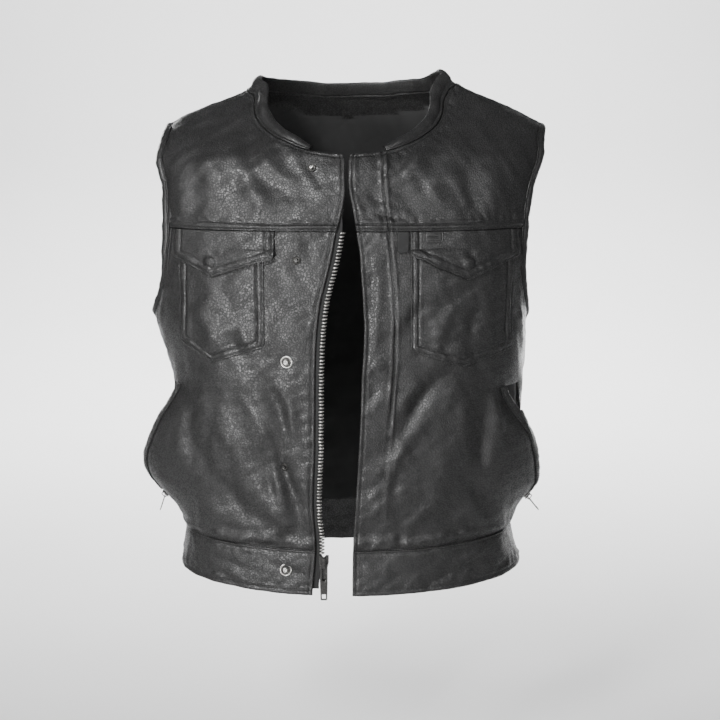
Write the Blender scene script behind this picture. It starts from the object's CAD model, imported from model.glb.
# Leather vest, worn open: the looks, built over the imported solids. Lengths in the tables are in millimetres.
import math

import bpy
import numpy as np
from mathutils import Matrix, Vector


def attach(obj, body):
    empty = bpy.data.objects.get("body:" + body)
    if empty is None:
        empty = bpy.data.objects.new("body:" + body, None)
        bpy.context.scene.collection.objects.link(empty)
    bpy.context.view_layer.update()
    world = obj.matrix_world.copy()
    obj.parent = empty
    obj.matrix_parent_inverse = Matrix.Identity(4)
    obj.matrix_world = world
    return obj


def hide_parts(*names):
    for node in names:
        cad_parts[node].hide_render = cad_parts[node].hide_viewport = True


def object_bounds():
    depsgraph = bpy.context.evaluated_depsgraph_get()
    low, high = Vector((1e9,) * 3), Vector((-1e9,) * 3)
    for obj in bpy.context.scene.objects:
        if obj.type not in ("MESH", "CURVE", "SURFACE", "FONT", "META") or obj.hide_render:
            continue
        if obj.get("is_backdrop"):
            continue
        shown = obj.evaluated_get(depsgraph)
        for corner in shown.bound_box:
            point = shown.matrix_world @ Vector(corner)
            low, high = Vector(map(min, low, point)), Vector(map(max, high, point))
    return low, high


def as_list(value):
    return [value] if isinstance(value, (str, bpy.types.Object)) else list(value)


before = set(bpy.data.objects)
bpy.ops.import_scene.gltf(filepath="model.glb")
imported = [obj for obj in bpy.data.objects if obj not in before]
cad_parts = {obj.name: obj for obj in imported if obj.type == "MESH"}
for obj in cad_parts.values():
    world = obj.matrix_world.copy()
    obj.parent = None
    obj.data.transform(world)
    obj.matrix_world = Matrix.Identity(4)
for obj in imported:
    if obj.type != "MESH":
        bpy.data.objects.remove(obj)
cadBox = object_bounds()
mm = 0.001
degree = math.pi / 180
right, left = -1, 1  # the wearer's sides: right is on the left of the picture
body = "vest"
print("frame loaded:", len(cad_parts), "solids")

# ---- the form, as in the part's source
sections = {
    "columns": ["level", "right", "left", "front", "back", "square"],
    "rows": [
        [-600, 212, 219, 127, 116, 2.3],
        [-562, 212, 217, 126, 114, 2.3],
        [-540, 211, 212, 125, 112, 2.3],
        [-520, 208, 207, 124, 110, 2.3],
        [-500, 211, 209, 126, 111, 2.35],
        [-450, 213, 213, 129, 112, 2.4],
        [-400, 212, 215, 132, 115, 2.45],
        [-343, 215, 217, 134, 121, 2.5],
        [-306, 224, 219, 135, 126, 2.5],
        [-257, 237, 221, 135, 132, 2.5],
        [-200, 234, 224, 132, 134, 2.5],
        [-150, 237, 232, 127, 131, 2.5],
        [-100, 241, 242, 116, 124, 2.45],
        [-60, 242, 250, 96, 113, 2.4],
        [-40, 230, 245, 74, 105, 2.35],
        [-28, 216, 236, 60, 98, 2.3],
        [-16, 194, 214, 46, 90, 2.3],
        [-6, 168, 191, 35, 82, 2.25],
        [4, 140, 168, 25, 73, 2.2],
        [14, 121, 145, 15, 60, 2.2],
        [26, 108, 118, 6, 40, 2.2],
    ],
}
neckSeam = {
    "columns": ["turn", "right", "left"],
    "rows": [
        [0, -61, -61],
        [9, -57, -57],
        [14, -52, -52],
        [18.3, -46, -45],
        [23.7, -35, -33],
        [28.8, -24, -20],
        [36, -11, -5],
        [51, 4, 11],
        [70, 11, 18],
        [90, 14, 22],
        [123, 12, 18],
        [138, 10, 13],
        [154, 8, 9],
        [168, 6.5, 7],
        [180, 6, 6],
    ],
}
frontEdges = {
    "columns": ["level", "right", "left"],
    "rows": [
        [-600, -42, 5.8],
        [-585, -42, 5.8],
        [-532, -38, 6.5],
        [-472, -40.5, 9.8],
        [-410, -38.6, 13.4],
        [-360, -38, 15.7],
        [-311, -37.3, 17.5],
        [-276, -36, 20],
        [-227, -30, 18.4],
        [-200, -23, 16.5],
        [-169, -16, 14],
        [-150, -12.5, 11],
        [-136, -8.5, 9],
        [-120, -4.5, 6],
        [-105, -2.4, 3],
        [-80, -2.4, 1.6],
        [-66, -3, 2],
        [-56, -7, 6],
    ],
}
mouthLine = {
    "columns": ["level", "right", "left"],
    "rows": [
        [-540, 90, 88],
        [-480, 88, 84],
        [-410, 80, 73],
        [-338, 67, 56],
        [-250, 52, 48],
        [-148, 44, 42],
    ],
}
lips = {
    "columns": ["level", "rightFront", "leftFront", "rightBack", "leftBack"],
    "rows": [
        [-600, 0, 0, 0, 0],
        [-512, 0, 0, 0, 0],
        [-496, 8, 8, 8, 8],
        [-480, 22, 18, 22, 18],
        [-466, 33, 25, 15, 5],
        [-450, 40, 26, 12, 2],
        [-432, 41, 24, 11, 1],
        [-410, 34, 19, 9, 0],
        [-384, 23, 11, 7, 0],
        [-360, 9, 4, 4, 0],
        [-338, 1, 0, 1, 0],
        [-320, 0, 0, 0, 0],
        [0, 0, 0, 0, 0],
    ],
}
# face, across, level, acrossEnd, levelEnd, bow, width, depth: the large folds, close to those of the source
folds = [
    ["front", -104, -312, -72, -418, -8, 9, -4.5],
    ["front", -78, -398, -52, -486, 8, 10, -4],
    ["front", -128, -318, -96, -428, -8, 13, 4],
    ["front", -176, -352, -172, -452, 4, 12, -5],
    ["front", -150, -436, -96, -500, 12, 13, -5.5],
    ["front", -118, -442, -66, -492, 8, 15, 4],
    ["front", -152, -352, -142, -440, -4, 16, 3.5],
    ["front", -196, -290, -190, -352, 3, 10, -3],
    ["front", -118, -10, -44, -114, 27, 13, -4.2],
    ["front", -106, -36, -66, -92, 12, 9, 2],
    ["front", -176, -60, -160, -126, -5, 18, 3],
    ["front", 122, -306, 62, -392, 6, 11, -4.5],
    ["front", 96, -356, 52, -442, 6, 12, 3.5],
    ["front", 150, -346, 150, -448, -6, 12, -5],
    ["front", 126, -386, 92, -492, -6, 16, 4],
    ["front", 176, -432, 96, -500, -10, 13, -4.5],
    ["front", 172, -342, 178, -404, 3, 11, 3],
    ["front", 60, -72, 88, -132, 10, 12, -3.5],
    ["front", 170, -56, 186, -126, 6, 18, 3],
    ["back", -60, -40, -120, -190, -14, 22, 4],
    ["back", 64, -44, 122, -196, 14, 22, 4],
    ["back", -150, -210, -40, -330, 12, 18, -4],
    ["back", 150, -220, 48, -338, -12, 18, -4],
    ["back", -18, -110, -8, -300, 6, 24, -4],
    ["back", -112, -360, -96, -500, 6, 17, 4.5],
    ["back", 110, -352, 92, -498, -6, 17, 4.5],
    ["back", -44, -392, -40, -508, 4, 14, -4],
    ["back", 38, -400, 46, -506, -4, 14, -4],
    ["right", 34, -282, 60, -392, 6, 13, -4.5],
    ["right", 6, -276, 16, -330, 4, 11, 3],
    ["left", 36, -286, 62, -398, 6, 13, -4.5],
    ["left", 4, -274, 14, -332, 4, 11, 3],
]
fineFolds = [  # the same columns: lesser creases, puckers by the seams and the pull of the snaps
    ["front", -82, -50, -46, -90, 8, 9, -2.4],
    ["front", -128, -92, -66, -126, 8, 12, 2.4],
    ["front", -84, -34, -44, -66, 5, 9, 1.8],
    ["front", -186, -70, -150, -124, 4, 10, -2.2],
    ["front", -196, -70, -196, -136, 0, 12, 2.4],
    ["front", 24, -98, 42, -118, 0, 9, -3.5],
    ["front", 52, -62, 40, -84, 3, 5, 1.8],
    ["front", 92, -50, 50, -98, -5, 8, 3],
    ["front", 76, -48, 42, -88, -4, 6, -2.4],
    ["front", 112, -50, 76, -102, -5, 9, -2.6],
    ["front", 30, -127, 68, -132, 1, 4, -2],
    ["front", 20, -137, 60, -140, 1, 3.5, 1.4],
    ["front", 8, -62, 14, -92, 3, 4, 1.3],
    ["front", -98, -346, -54, -500, 3, 6.5, -3],
    ["front", -104, -380, -90, -482, -3, 7.5, -3.2],
    ["front", -84, -430, -66, -512, 2, 8, 3],
    ["front", -92, -478, -70, -506, 2, 9, 2.4],
    ["front", -172, -330, -168, -428, 3, 10, 3.6],
    ["front", -187, -340, -184, -446, 2, 6, -3.4],
    ["front", -158, -424, -150, -500, 3, 10, -3],
    ["front", -204, -344, -216, -424, 0, 6, 3],
    ["front", -212, -352, -222, -420, 0, 4, -2.4],
    ["front", -136, -262, -128, -300, 2, 8, -2.2],
    ["front", -156, -258, -160, -296, 0, 10, 2.4],
    ["front", -122, -240, -112, -296, 3, 8, 2],
    ["front", -70, -340, -62, -404, 0, 7, 2],
    ["front", -52, -420, -44, -510, 0, 6, 2.2],
    ["front", 108, -320, 60, -402, 4, 7, -2.6],
    ["front", 165, -332, 162, -448, -2, 6.5, -4.4],
    ["front", 180, -328, 206, -398, 2, 5.5, -3.6],
    ["front", 174, -340, 184, -424, 1, 6, 3],
    ["front", 198, -350, 212, -424, 1, 6, 3.4],
    ["front", 134, -330, 142, -430, 0, 16, 2.6],
    ["front", 78, -380, 46, -470, 6, 8, 2.4],
    ["front", 66, -384, 84, -420, 0, 7, -2],
    ["front", 152, -440, 176, -496, 0, 12, -3.6],
    ["front", 40, -448, 26, -470, 0, 4, 1.8],
    ["front", 42, -428, 28, -448, 0, 4, 1.6],
    ["front", 40, -470, 26, -492, 0, 4, 1.6],
    ["front", 36, -330, 22, -352, 0, 5, -2.2],
    ["front", 40, -190, 34, -300, 3, 6, 1.8],
    ["front", 26, -170, 26, -300, -2, 6, -1.8],
    ["front", 94, -226, 66, -276, 4, 7, -2.6],
    ["front", 128, -226, 100, -300, 4, 8, 2.4],
    ["front", 160, -220, 140, -300, 4, 8, -2.2],
    ["front", -176, -540, -96, -562, 3, 5, -1.8],
    ["front", -96, -548, -42, -566, -2, 5, -2],
    ["front", 184, -530, 120, -566, 3, 5, 2.2],
    ["front", 170, -548, 96, -574, 3, 4, -1.6],
    ["front", 96, -556, 70, -578, 2, 4, 1.6],
    ["front", -46, -152, -34, -196, 4, 6, -1.4],
    ["front", -30, -168, -60, -214, -5, 8, 1.2],
    ["front", -120, -330, -92, -372, 4, 6, -1.6],
    ["front", -58, -300, -50, -388, 3, 7, -1.3],
    ["front", -92, -426, -60, -474, 6, 6, 1.6],
    ["front", -160, -380, -166, -470, -4, 6, 2.2],
    ["front", -186, -372, -188, -462, 4, 5, 2],
    ["front", -134, -396, -140, -472, 3, 7, -1.8],
    ["front", -60, -492, -120, -518, -5, 6, 2],
    ["front", -150, -486, -196, -512, -4, 7, 1.8],
    ["front", -80, -496, -56, -524, 2, 5, -1.4],
    ["front", -66, -62, -28, -108, -7, 6, -1.5],
    ["front", -128, -84, -100, -142, -8, 9, 1.6],
    ["front", -146, -60, -126, -130, -6, 10, -1.5],
    ["front", -190, -120, -96, -140, 5, 9, 1.2],
    ["front", 26, -108, 84, -122, 3, 5, -1],
    ["front", 22, -130, 70, -138, 2, 4, 0.9],
    ["front", 96, -76, 128, -138, 8, 10, 1.8],
    ["front", 142, -66, 156, -140, 6, 9, -1.6],
    ["front", 84, -320, 62, -372, 4, 7, 1.6],
    ["front", 70, -404, 54, -476, 4, 6, -1.6],
    ["front", 132, -320, 112, -380, 4, 8, 1.8],
    ["front", 168, -398, 160, -470, -4, 6, 2.2],
    ["front", 188, -372, 186, -440, 3, 5, -1.8],
    ["front", 110, -470, 70, -510, 5, 7, 2],
    ["front", 150, -490, 196, -516, 4, 7, 1.6],
    ["front", 40, -470, 62, -520, 3, 6, 1.3],
    ["front", 36, -190, 52, -262, -4, 8, -1.2],
    ["back", -160, -90, -176, -210, -6, 14, 2],
    ["back", 162, -96, 178, -214, 6, 14, 2],
    ["back", -20, -420, -70, -512, 6, 9, 2],
    ["back", 16, -418, 70, -512, -6, 9, 2],
    ["back", -150, -420, -140, -512, 4, 9, -2.2],
    ["back", 150, -424, 140, -512, 4, 9, -2.2],
    ["back", -90, -250, 40, -286, 8, 12, 1.6],
    ["right", -18, -300, 30, -350, -4, 8, 1.8],
    ["right", 60, -420, 66, -510, 4, 9, 2.2],
    ["right", 30, -450, 34, -514, 3, 8, -2],
    ["left", -18, -300, 30, -352, 4, 8, 1.8],
    ["left", 60, -424, 66, -510, 4, 9, 2.2],
    ["left", 30, -450, 34, -514, -3, 8, -2],
]
lipSpread = {"front": 21, "back": 15}
mouthTop, mouthFoot = -338, -480
yokeSeam = -148
waistSeam = {"side": -521, "frontDip": 10, "backDip": 5}
hem = {"side": -573, "frontDip": 13, "backDip": 9}
armholeEdge = {"middle": -144, "halfHeight": 112, "halfWidth": 62}
armholeSeam = {"middle": -146.3, "halfHeight": 120.8, "halfWidth": 72}
sideTurn, shoulderTurn, seamTurn = 100, 90, 0.08
seamGap = 0.3
leather = 2


def readTable(table, column, key):
    rows = np.array(table["rows"], float)
    keys, values = rows[:, 0], rows[:, table["columns"].index(column)]
    gap = np.diff(keys)
    rise = np.diff(values) / gap
    slope = np.empty_like(values)
    slope[0], slope[-1] = rise[0], rise[-1]
    slope[1:-1] = (rise[:-1] * gap[1:] + rise[1:] * gap[:-1]) / (gap[1:] + gap[:-1])
    key = np.clip(key, keys[0], keys[-1])
    i = np.clip(np.searchsorted(keys, key, side="left") - 1, 0, len(keys) - 2)
    t = (key - keys[i]) / gap[i]
    s = 1 - t
    curve = values[i] * s * s * (1 + 2 * t) + values[i + 1] * t * t * (1 + 2 * s)
    return curve + gap[i] * s * t * (slope[i] * s - slope[i + 1] * t)


def mix(a, b, share):
    return a + (b - a) * share


def flankName(flank):
    return "right" if flank < 0 else "left"


def sectionAt(level, onLeft, inFront):
    half = np.where(onLeft, readTable(sections, "left", level), readTable(sections, "right", level))
    depth = np.where(inFront, readTable(sections, "front", level), readTable(sections, "back", level))
    return half, depth, readTable(sections, "square", level)


def formPoints(turn, level):
    across, ahead = np.sin(turn * degree), np.cos(turn * degree)
    half, depth, square = sectionAt(level, across >= 0, ahead > 0)
    reach = (np.abs(across) ** square + np.abs(ahead) ** square) ** (-1 / square)
    return np.stack([half * reach * across, -depth * reach * ahead, level + 0 * turn], -1)


def turnAcross(across, level):
    half, _, square = sectionAt(level, across >= 0, True)
    share = np.minimum(1, np.abs(across) / half)
    return np.sign(across) * np.arctan2(share, (1 - share**square) ** (1 / square)) / degree


def turnAhead(flank, y, level):
    _, depth, square = sectionAt(level, flank > 0, y < 0)
    share = np.minimum(1, np.abs(y) / depth)
    turn = np.arctan2((1 - share**square) ** (1 / square), share) / degree
    return flank * np.where(y < 0, turn, 180 - turn)


def edgeTurn(flank, level):
    return turnAcross(readTable(frontEdges, flankName(flank), level), level)


def mouthTurn(flank, level):
    return flank * readTable(mouthLine, flankName(flank), level)


def foldHeight(points, turn, rows):
    facing, sideways = np.cos(turn * degree), np.sin(turn * degree)
    weights = {
        "front": np.maximum(0, facing) ** 0.5,
        "back": np.maximum(0, -facing) ** 0.5,
        "right": np.maximum(0, -sideways),
        "left": np.maximum(0, sideways),
    }
    height = np.zeros(turn.shape)
    for face, across, level, acrossEnd, levelEnd, bow, width, depth in rows:
        place = points[..., 0] if face in ("front", "back") else points[..., 1]
        reach = abs(bow) + 3 * width
        low, high = min(across, acrossEnd) - reach, max(across, acrossEnd) + reach
        near = (low < place) & (place < high) & (weights[face] > 0)
        near &= np.abs(points[..., 2] - (level + levelEnd) / 2) < abs(level - levelEnd) / 2 + reach
        if not near.any():
            continue
        runX, runZ = acrossEnd - across, levelEnd - level
        length = math.hypot(runX, runZ)
        fromX, fromZ = place[near] - across, points[..., 2][near] - level
        t = (fromX * runX + fromZ * runZ) / length**2
        hump = np.where((t > 0) & (t < 1), np.sin(np.pi * np.clip(t, 0, 1)), 0)
        off = (fromX * runZ - fromZ * runX) / length - bow * hump
        height[near] += depth * hump * np.exp(-((off / width) ** 2)) * weights[face][near]
    return height


def ripple(points, wavelength, seed, waves=9):
    rng = np.random.default_rng(seed)
    height = np.zeros(points.shape[:-1])
    for _ in range(waves):
        way = rng.normal(size=3)
        way *= rng.uniform(0.7, 1.4) / np.linalg.norm(way)
        height += np.sin(points @ way * (2 * np.pi / wavelength) + rng.uniform(0, 6.28))
    return height / math.sqrt(waves / 2)


def lipHeight(turn, level, lip):
    turn = np.where(turn > 180, turn - 360, turn)
    onLeft, around = turn >= 0, np.abs(turn)
    line = np.where(onLeft, readTable(mouthLine, "left", level), readTable(mouthLine, "right", level))
    beyond = around - line
    inFront = np.where(lip == 0, beyond < 0, lip > 0)
    push = np.zeros(turn.shape)
    for flank in (right, left):
        for side, ahead in (("Front", True), ("Back", False)):
            here = (onLeft == (flank > 0)) & (inFront == ahead)
            push = np.where(here, readTable(lips, flankName(flank) + side, level), push)
    spread = np.where(beyond < 0, lipSpread["front"], lipSpread["back"])
    return push * np.exp(-((beyond / spread) ** 2))


def normals(place, turn, level):
    along = place(turn + 0.5, level) - place(turn - 0.5, level)
    up = place(turn, level + 1) - place(turn, level - 1)
    out = np.cross(along, up)
    return out / np.linalg.norm(out, axis=-1, keepdims=True)


def drapedPoints(turn, level, lip):
    points = formPoints(turn, level)
    height = foldHeight(points, turn, folds + fineFolds) + lipHeight(turn, level, lip)
    height += 0.6 * ripple(points, 62, 3) + 0.42 * ripple(points, 33, 5) + 0.2 * ripple(points, 16, 7)
    return points + normals(formPoints, turn, level) * height[..., None]


def skin(turn, level, lip=1):
    # base points and outward normals of the draped cloth, for arrays of turns and levels
    turn, level = np.broadcast_arrays(np.asarray(turn, float), np.asarray(level, float))
    lip = np.broadcast_to(lip, turn.shape)
    place = lambda t, l: drapedPoints(t, l, lip)
    return place(turn, level), normals(place, turn, level)


# ---- where each piece lies on the form
def dipLevel(seam, turn):
    facing = np.cos(np.asarray(turn) * degree)
    return seam["side"] - np.where(facing > 0, seam["frontDip"], seam["backDip"]) * facing**2


def armholeSpot(oval, flank, angle):
    level = oval["middle"] + oval["halfHeight"] * np.cos(angle * degree)
    return turnAhead(flank, -oval["halfWidth"] * np.sin(angle * degree), level), level


def sideSeamAngle(flank):
    low, high = 180.0, 240.0
    for _ in range(30):
        middle = (low + high) / 2
        turn = abs(float(armholeSpot(armholeSeam, flank, np.array(middle))[0]))
        low, high = (middle, high) if turn < sideTurn else (low, middle)
    return (low + high) / 2


yokeAngle = math.acos((yokeSeam - armholeSeam["middle"]) / armholeSeam["halfHeight"]) / degree
rowStops = [0, 3, 12, 17, 24]  # rows at the waist seam, the mouth's foot and top, under the arm, the yoke
edgeColumns, flankColumns = 14, 4


def bodyRow(row, turn, armholeFoot):
    row = np.asarray(row, float)
    stops = [dipLevel(waistSeam, turn) + seamGap, mouthFoot, mouthTop, armholeFoot, yokeSeam]
    level = 0.0
    for k in range(4):
        share = np.clip((row - rowStops[k]) / (rowStops[k + 1] - rowStops[k]), 0, 1)
        level = mix(stops[0], stops[1], share) if k == 0 else mix(level, stops[k + 1], share)
    return level, np.clip((row - rowStops[3]) / (rowStops[4] - rowStops[3]), 0, 1)


def frontSpots(flank, i, j):
    foot = sideSeamAngle(flank)
    footLevel = float(armholeSpot(armholeSeam, flank, np.array(foot))[1])
    sideLevel, upArmhole = bodyRow(j, sideTurn, footLevel)
    inner, middle = bodyRow(j, 0, -290)[0], bodyRow(j, 80, -290)[0]
    rimTurn, rimLevel = armholeSpot(armholeSeam, flank, mix(foot, yokeAngle, upArmhole))
    rimTurn = np.where(upArmhole > 0, rimTurn, flank * (sideTurn - seamTurn))
    rimLevel = np.where(upArmhole > 0, rimLevel, sideLevel)
    share = np.clip(i / edgeColumns, 0, 1)
    beyond = np.clip((i - edgeColumns) / flankColumns, 0, 1)
    ahead = i <= edgeColumns
    level = np.where(ahead, mix(inner, middle, share), mix(middle, rimLevel, beyond**2))
    near = mix(edgeTurn(flank, inner), mouthTurn(flank, middle), share)
    turn = np.where(ahead, near, mix(mouthTurn(flank, middle), rimTurn, beyond))
    level = np.where(j == 0, dipLevel(waistSeam, turn) + seamGap, level)
    level = np.where(j == rowStops[-1], yokeSeam - seamGap, level)
    return turn, level, np.where(ahead, 1, -1)


yokeColumns, capColumns, yokeRows = 8, 5, 7


def neckLevel(turn):
    turn = np.asarray(turn, float)
    around = np.abs(turn)
    return np.where(turn < 0, readTable(neckSeam, "right", around), readTable(neckSeam, "left", around))


def yokeFoot(flank, front, s, startTurn):
    split = yokeColumns / (yokeColumns + capColumns)
    corner, shoulder = (yokeAngle, 0) if front else (360 - yokeAngle, 360)
    onSeam = s <= split
    angle = mix(corner, shoulder, np.clip((s - split) / (1 - split), 0, 1))
    capTurn, capLevel = armholeSpot(armholeSeam, flank, angle)
    cornerTurn = float(armholeSpot(armholeSeam, flank, np.array(float(corner)))[0])
    turn = np.where(onSeam, mix(startTurn, cornerTurn, s / split), capTurn)
    return turn, np.where(onSeam, yokeSeam, capLevel)


def yokeHead(flank, s):
    return mix(edgeTurn(flank, neckLevel(0)), flank * (shoulderTurn - seamTurn), s**1.5)


def yokeSpots(flank, i, j):
    s, t = i / (yokeColumns + capColumns), j / yokeRows
    startTurn = edgeTurn(flank, yokeSeam)
    footTurn, footLevel = yokeFoot(flank, True, s, startTurn)
    headTurn = yokeHead(flank, s)
    level = mix(footLevel, neckLevel(headTurn), t)
    straight = mix(startTurn, yokeHead(flank, 0.0), t)
    turn = mix(footTurn, headTurn, t) + (edgeTurn(flank, level) - straight) * (1 - s) ** 4
    return np.where(s == 1, headTurn, turn), level, np.zeros(turn.shape)


def backSpots(flank, i, j, upper):
    columns = yokeColumns + capColumns
    if upper:
        s = i / columns
        startTurn, startLevel = yokeFoot(flank, False, s, flank * 180.0)
        headTurn = mix(flank * 180, flank * (shoulderTurn + seamTurn), s**1.1)
        turn = np.where(s == 1, headTurn, mix(startTurn, headTurn, j / yokeRows))
        return turn, mix(startLevel, neckLevel(headTurn), j / yokeRows), -np.ones(turn.shape)
    s = i / yokeColumns
    foot = sideSeamAngle(flank)
    footLevel = float(armholeSpot(armholeSeam, flank, np.array(foot))[1])
    sideLevel, upArmhole = bodyRow(j, sideTurn, footLevel)
    centre = bodyRow(j, 180, -290)[0]
    rimTurn, rimLevel = armholeSpot(armholeSeam, flank, mix(foot, 360 - yokeAngle, upArmhole))
    rimTurn = np.where(upArmhole > 0, rimTurn, flank * (sideTurn + seamTurn))
    rimLevel = np.where(upArmhole > 0, rimLevel, sideLevel)
    turn = mix(flank * 180, rimTurn, s)
    level = mix(centre, rimLevel, s**2)
    level = np.where(j == 0, dipLevel(waistSeam, turn) + seamGap, level)
    return turn, level, -np.ones(turn.shape)


def waistSpots(startTurn, endTurn, s, t):
    guess = mix(startTurn(-550), endTurn(-550), s)
    level = mix(dipLevel(hem, guess), dipLevel(waistSeam, guess), t)
    return mix(startTurn(level), endTurn(level), s), level, np.zeros(level.shape)


# ---- cloth: a grid of spots, raised by seams and stitches, closed over a smooth inside
turnedEdge = (0, 0.3, 0.7, 1.2, 1.9, 2.8, 3.8, 5)  # mm from an edge where the leather is turned over
edgePlaces = len(turnedEdge) - 1
besideRow = (-1.6, -0.8, 0, 0.8, 1.6)
farOff = 99  # stands for a distance beyond the reach of any seam


def stations(length, step, dense=turnedEdge, rows=()):
    # places along a length in mm, close together at both ends and at the stitch rows
    count = max(2, round((length - 2 * dense[-1]) / step))
    middle = np.linspace(dense[-1], length - dense[-1], count + 1)
    extra = np.array([row + x for row in rows for x in besideRow])
    if len(extra):
        middle = middle[np.abs(middle[:, None] - extra[None]).min(1) > 0.55]
        extra = extra[(extra > dense[-1]) & (extra < length - dense[-1])]
        middle = np.sort(np.concatenate([middle, extra]))
    ends = np.array(dense[:-1])
    return np.concatenate([ends, middle, length - ends[::-1]])


def pinned(places, stops):
    # the nearest of the places moved onto each stop
    places = np.array(places, float)
    for stop in stops:
        places[np.argmin(np.abs(places - stop))] = stop
    return places


def lay(spots, columns, rows, clear=None):
    i, j = np.meshgrid(columns, rows, indexing="ij")
    turn, level, lip = spots(i, j)
    points, normal = skin(turn, level, lip)
    patch = {"points": points, "normals": normal, "turn": turn, "level": level, "i": i, "j": j}
    steps = [np.linalg.norm(np.diff(points, axis=a), axis=-1) for a in (0, 1)]
    for a, name in ((0, "across"), (1, "up")):
        run = np.cumsum(steps[a], axis=a)
        run = np.concatenate([np.zeros_like(run.take([0], axis=a)), run], axis=a)
        patch[name + "Start"] = run
        patch[name + "End"] = run.take([-1], axis=a) - run
    patch["lift"] = np.zeros(turn.shape)
    middle = (i[:-1, :-1] + i[1:, 1:]) / 2, (j[:-1, :-1] + j[1:, 1:]) / 2
    patch["open"] = clear(*middle) if clear else np.zeros(middle[0].shape, bool)
    return patch


def rolled(distance, radius=1.1):
    # how far a turned edge drops away at a distance from it
    return -radius * (1 - np.sqrt(1 - np.clip(1 - distance / radius, 0, 1) ** 2))


def groove(distance, at, depth=0.5, width=0.8):
    return -depth * np.exp(-(((distance - at) / width) ** 2))


def gathered(points, distance, seed, height=0.5, wave=10, reach=9):
    # the small uneven puckers that sewing pulls into the leather beside a seam
    near = 1 - np.exp(-np.maximum(0, distance) / 2.5)
    return height * ripple(points, wave, seed, 7) * near * np.exp(-((distance / reach) ** 2))


def topstitched(patch, distance, at=4.5, seed=1, height=0.35, wave=10, reach=10, puff=0.45, roll=1.1):
    band = 1.1 * puff * np.exp(-(((distance - at / 2) / (at / 2.6)) ** 2))
    beyond = 0.7 * puff * np.exp(-(((distance - at - 3.0) / 2.4) ** 2))
    pull = gathered(patch["points"], np.maximum(0, distance - at), seed, height, wave, reach)
    return rolled(distance, roll) + groove(distance, at, 0.9, 0.9) + band + beyond + pull


def makeObject(name, points, faces, finishes, indices=None):
    mesh = bpy.data.meshes.new(name)
    mesh.from_pydata((np.asarray(points) * mm).tolist(), [], faces)
    for finish in finishes:
        mesh.materials.append(finish)
    if indices is not None:
        mesh.polygons.foreach_set("material_index", np.asarray(indices, np.int32))
    mesh.polygons.foreach_set("use_smooth", np.full(len(mesh.polygons), True))
    mesh.update()
    piece = bpy.data.objects.new(name, mesh)
    bpy.context.scene.collection.objects.link(piece)
    return piece


def ride(piece, *nodes, slot="leather", on=body):
    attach(piece, on)
    if nodes:
        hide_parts(*nodes)
    return piece


def leatherBack(patch):
    return np.zeros(patch["turn"].shape, int)


def makeCloth(name, patches, thickness, finishes, backIndex=None):
    # the first finish is on the face and the rim, and backIndex picks what each cell of the back shows
    outer, inner, cells, backs = [], [], [], []
    start = 0
    for patch in patches:
        points, normal, lift = patch["points"], patch["normals"], patch["lift"]
        thin = patch.get("thin", 0)
        raised = points + normal * lift[..., None]
        outer.append(raised.reshape(-1, 3))
        inner.append((points + normal * (thin - thickness + 0 * lift)[..., None]).reshape(-1, 3))
        number = start + np.arange(lift.size).reshape(lift.shape)
        quads = np.stack([number[:-1, :-1], number[1:, :-1], number[1:, 1:], number[:-1, 1:]], -1)
        facing = np.cross(raised[1:, :-1] - raised[:-1, :-1], raised[:-1, 1:] - raised[:-1, :-1])
        if (facing * normal[:-1, :-1]).sum() < 0:
            quads = quads[..., ::-1]
        keep = ~patch["open"]
        cells.append(quads[keep])
        backs.append(backIndex(patch)[:-1, :-1][keep] if backIndex else np.ones(keep.sum(), int))
        start += lift.size
    outer, inner = np.concatenate(outer), np.concatenate(inner)
    cells, backs = np.concatenate(cells), np.concatenate(backs)
    _, first, same = np.unique(np.round(outer * 25), axis=0, return_index=True, return_inverse=True)
    same = same.reshape(-1)
    outer, inner, cells = outer[first], inner[first], same[cells]
    whole = np.array([len(set(cell)) == 4 for cell in cells.tolist()])
    thinCells = [list(dict.fromkeys(cell)) for cell in cells[~whole].tolist()]
    thinCells = [cell for cell in thinCells if len(cell) == 3]
    cells, backs = cells[whole], backs[whole]
    faces = cells.tolist() + thinCells
    count = len(outer)
    edges = {}
    for face in faces:
        for k, a in enumerate(face):
            edges[(a, face[(k + 1) % len(face)])] = True
    rim = [[b, a, a + count, b + count] for a, b in edges if (b, a) not in edges]
    behind = [[v + count for v in reversed(face)] for face in faces]
    indices = [0] * len(faces) + backs.tolist() + [1] * len(thinCells) + [0] * len(rim)
    return makeObject(name, np.concatenate([outer, inner]), faces + behind + rim, finishes, indices)


def lineAlong(patch, distance, at, axis):
    # the points and normals of a line that runs a set distance from one side of a patch
    points = patch["points"] + patch["normals"] * patch["lift"][..., None]
    along = 1 - axis
    out, normal = [], []
    for k in range(points.shape[along]):
        d = distance.take(k, axis=along)
        p, n = points.take(k, axis=along), patch["normals"].take(k, axis=along)
        order = np.argsort(d)
        out.append([np.interp(at, d[order], p[order, c]) for c in range(3)])
        normal.append([np.interp(at, d[order], n[order, c]) for c in range(3)])
    return np.array(out), np.array(normal)


def resample(points, normal, pitch):
    run = np.concatenate([[0], np.cumsum(np.linalg.norm(np.diff(points, axis=0), axis=1))])
    places = np.arange(pitch / 2, run[-1] - pitch / 2, pitch)
    at = lambda values, where: np.stack([np.interp(where, run, values[:, c]) for c in range(3)], 1)
    ahead = at(points, places + 0.6) - at(points, places - 0.6)
    ahead /= np.linalg.norm(ahead, axis=1, keepdims=True) + 1e-9
    out = at(normal, places)
    out -= (out * ahead).sum(1, keepdims=True) * ahead
    out /= np.linalg.norm(out, axis=1, keepdims=True) + 1e-9
    return at(points, places), ahead, out


threads = {"pitch": 3.3, "length": 2.4, "radius": 0.44, "rise": 0.14}
stitchLines = []


def sew(line):
    stitchLines.append(resample(*line, threads["pitch"]))


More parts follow.
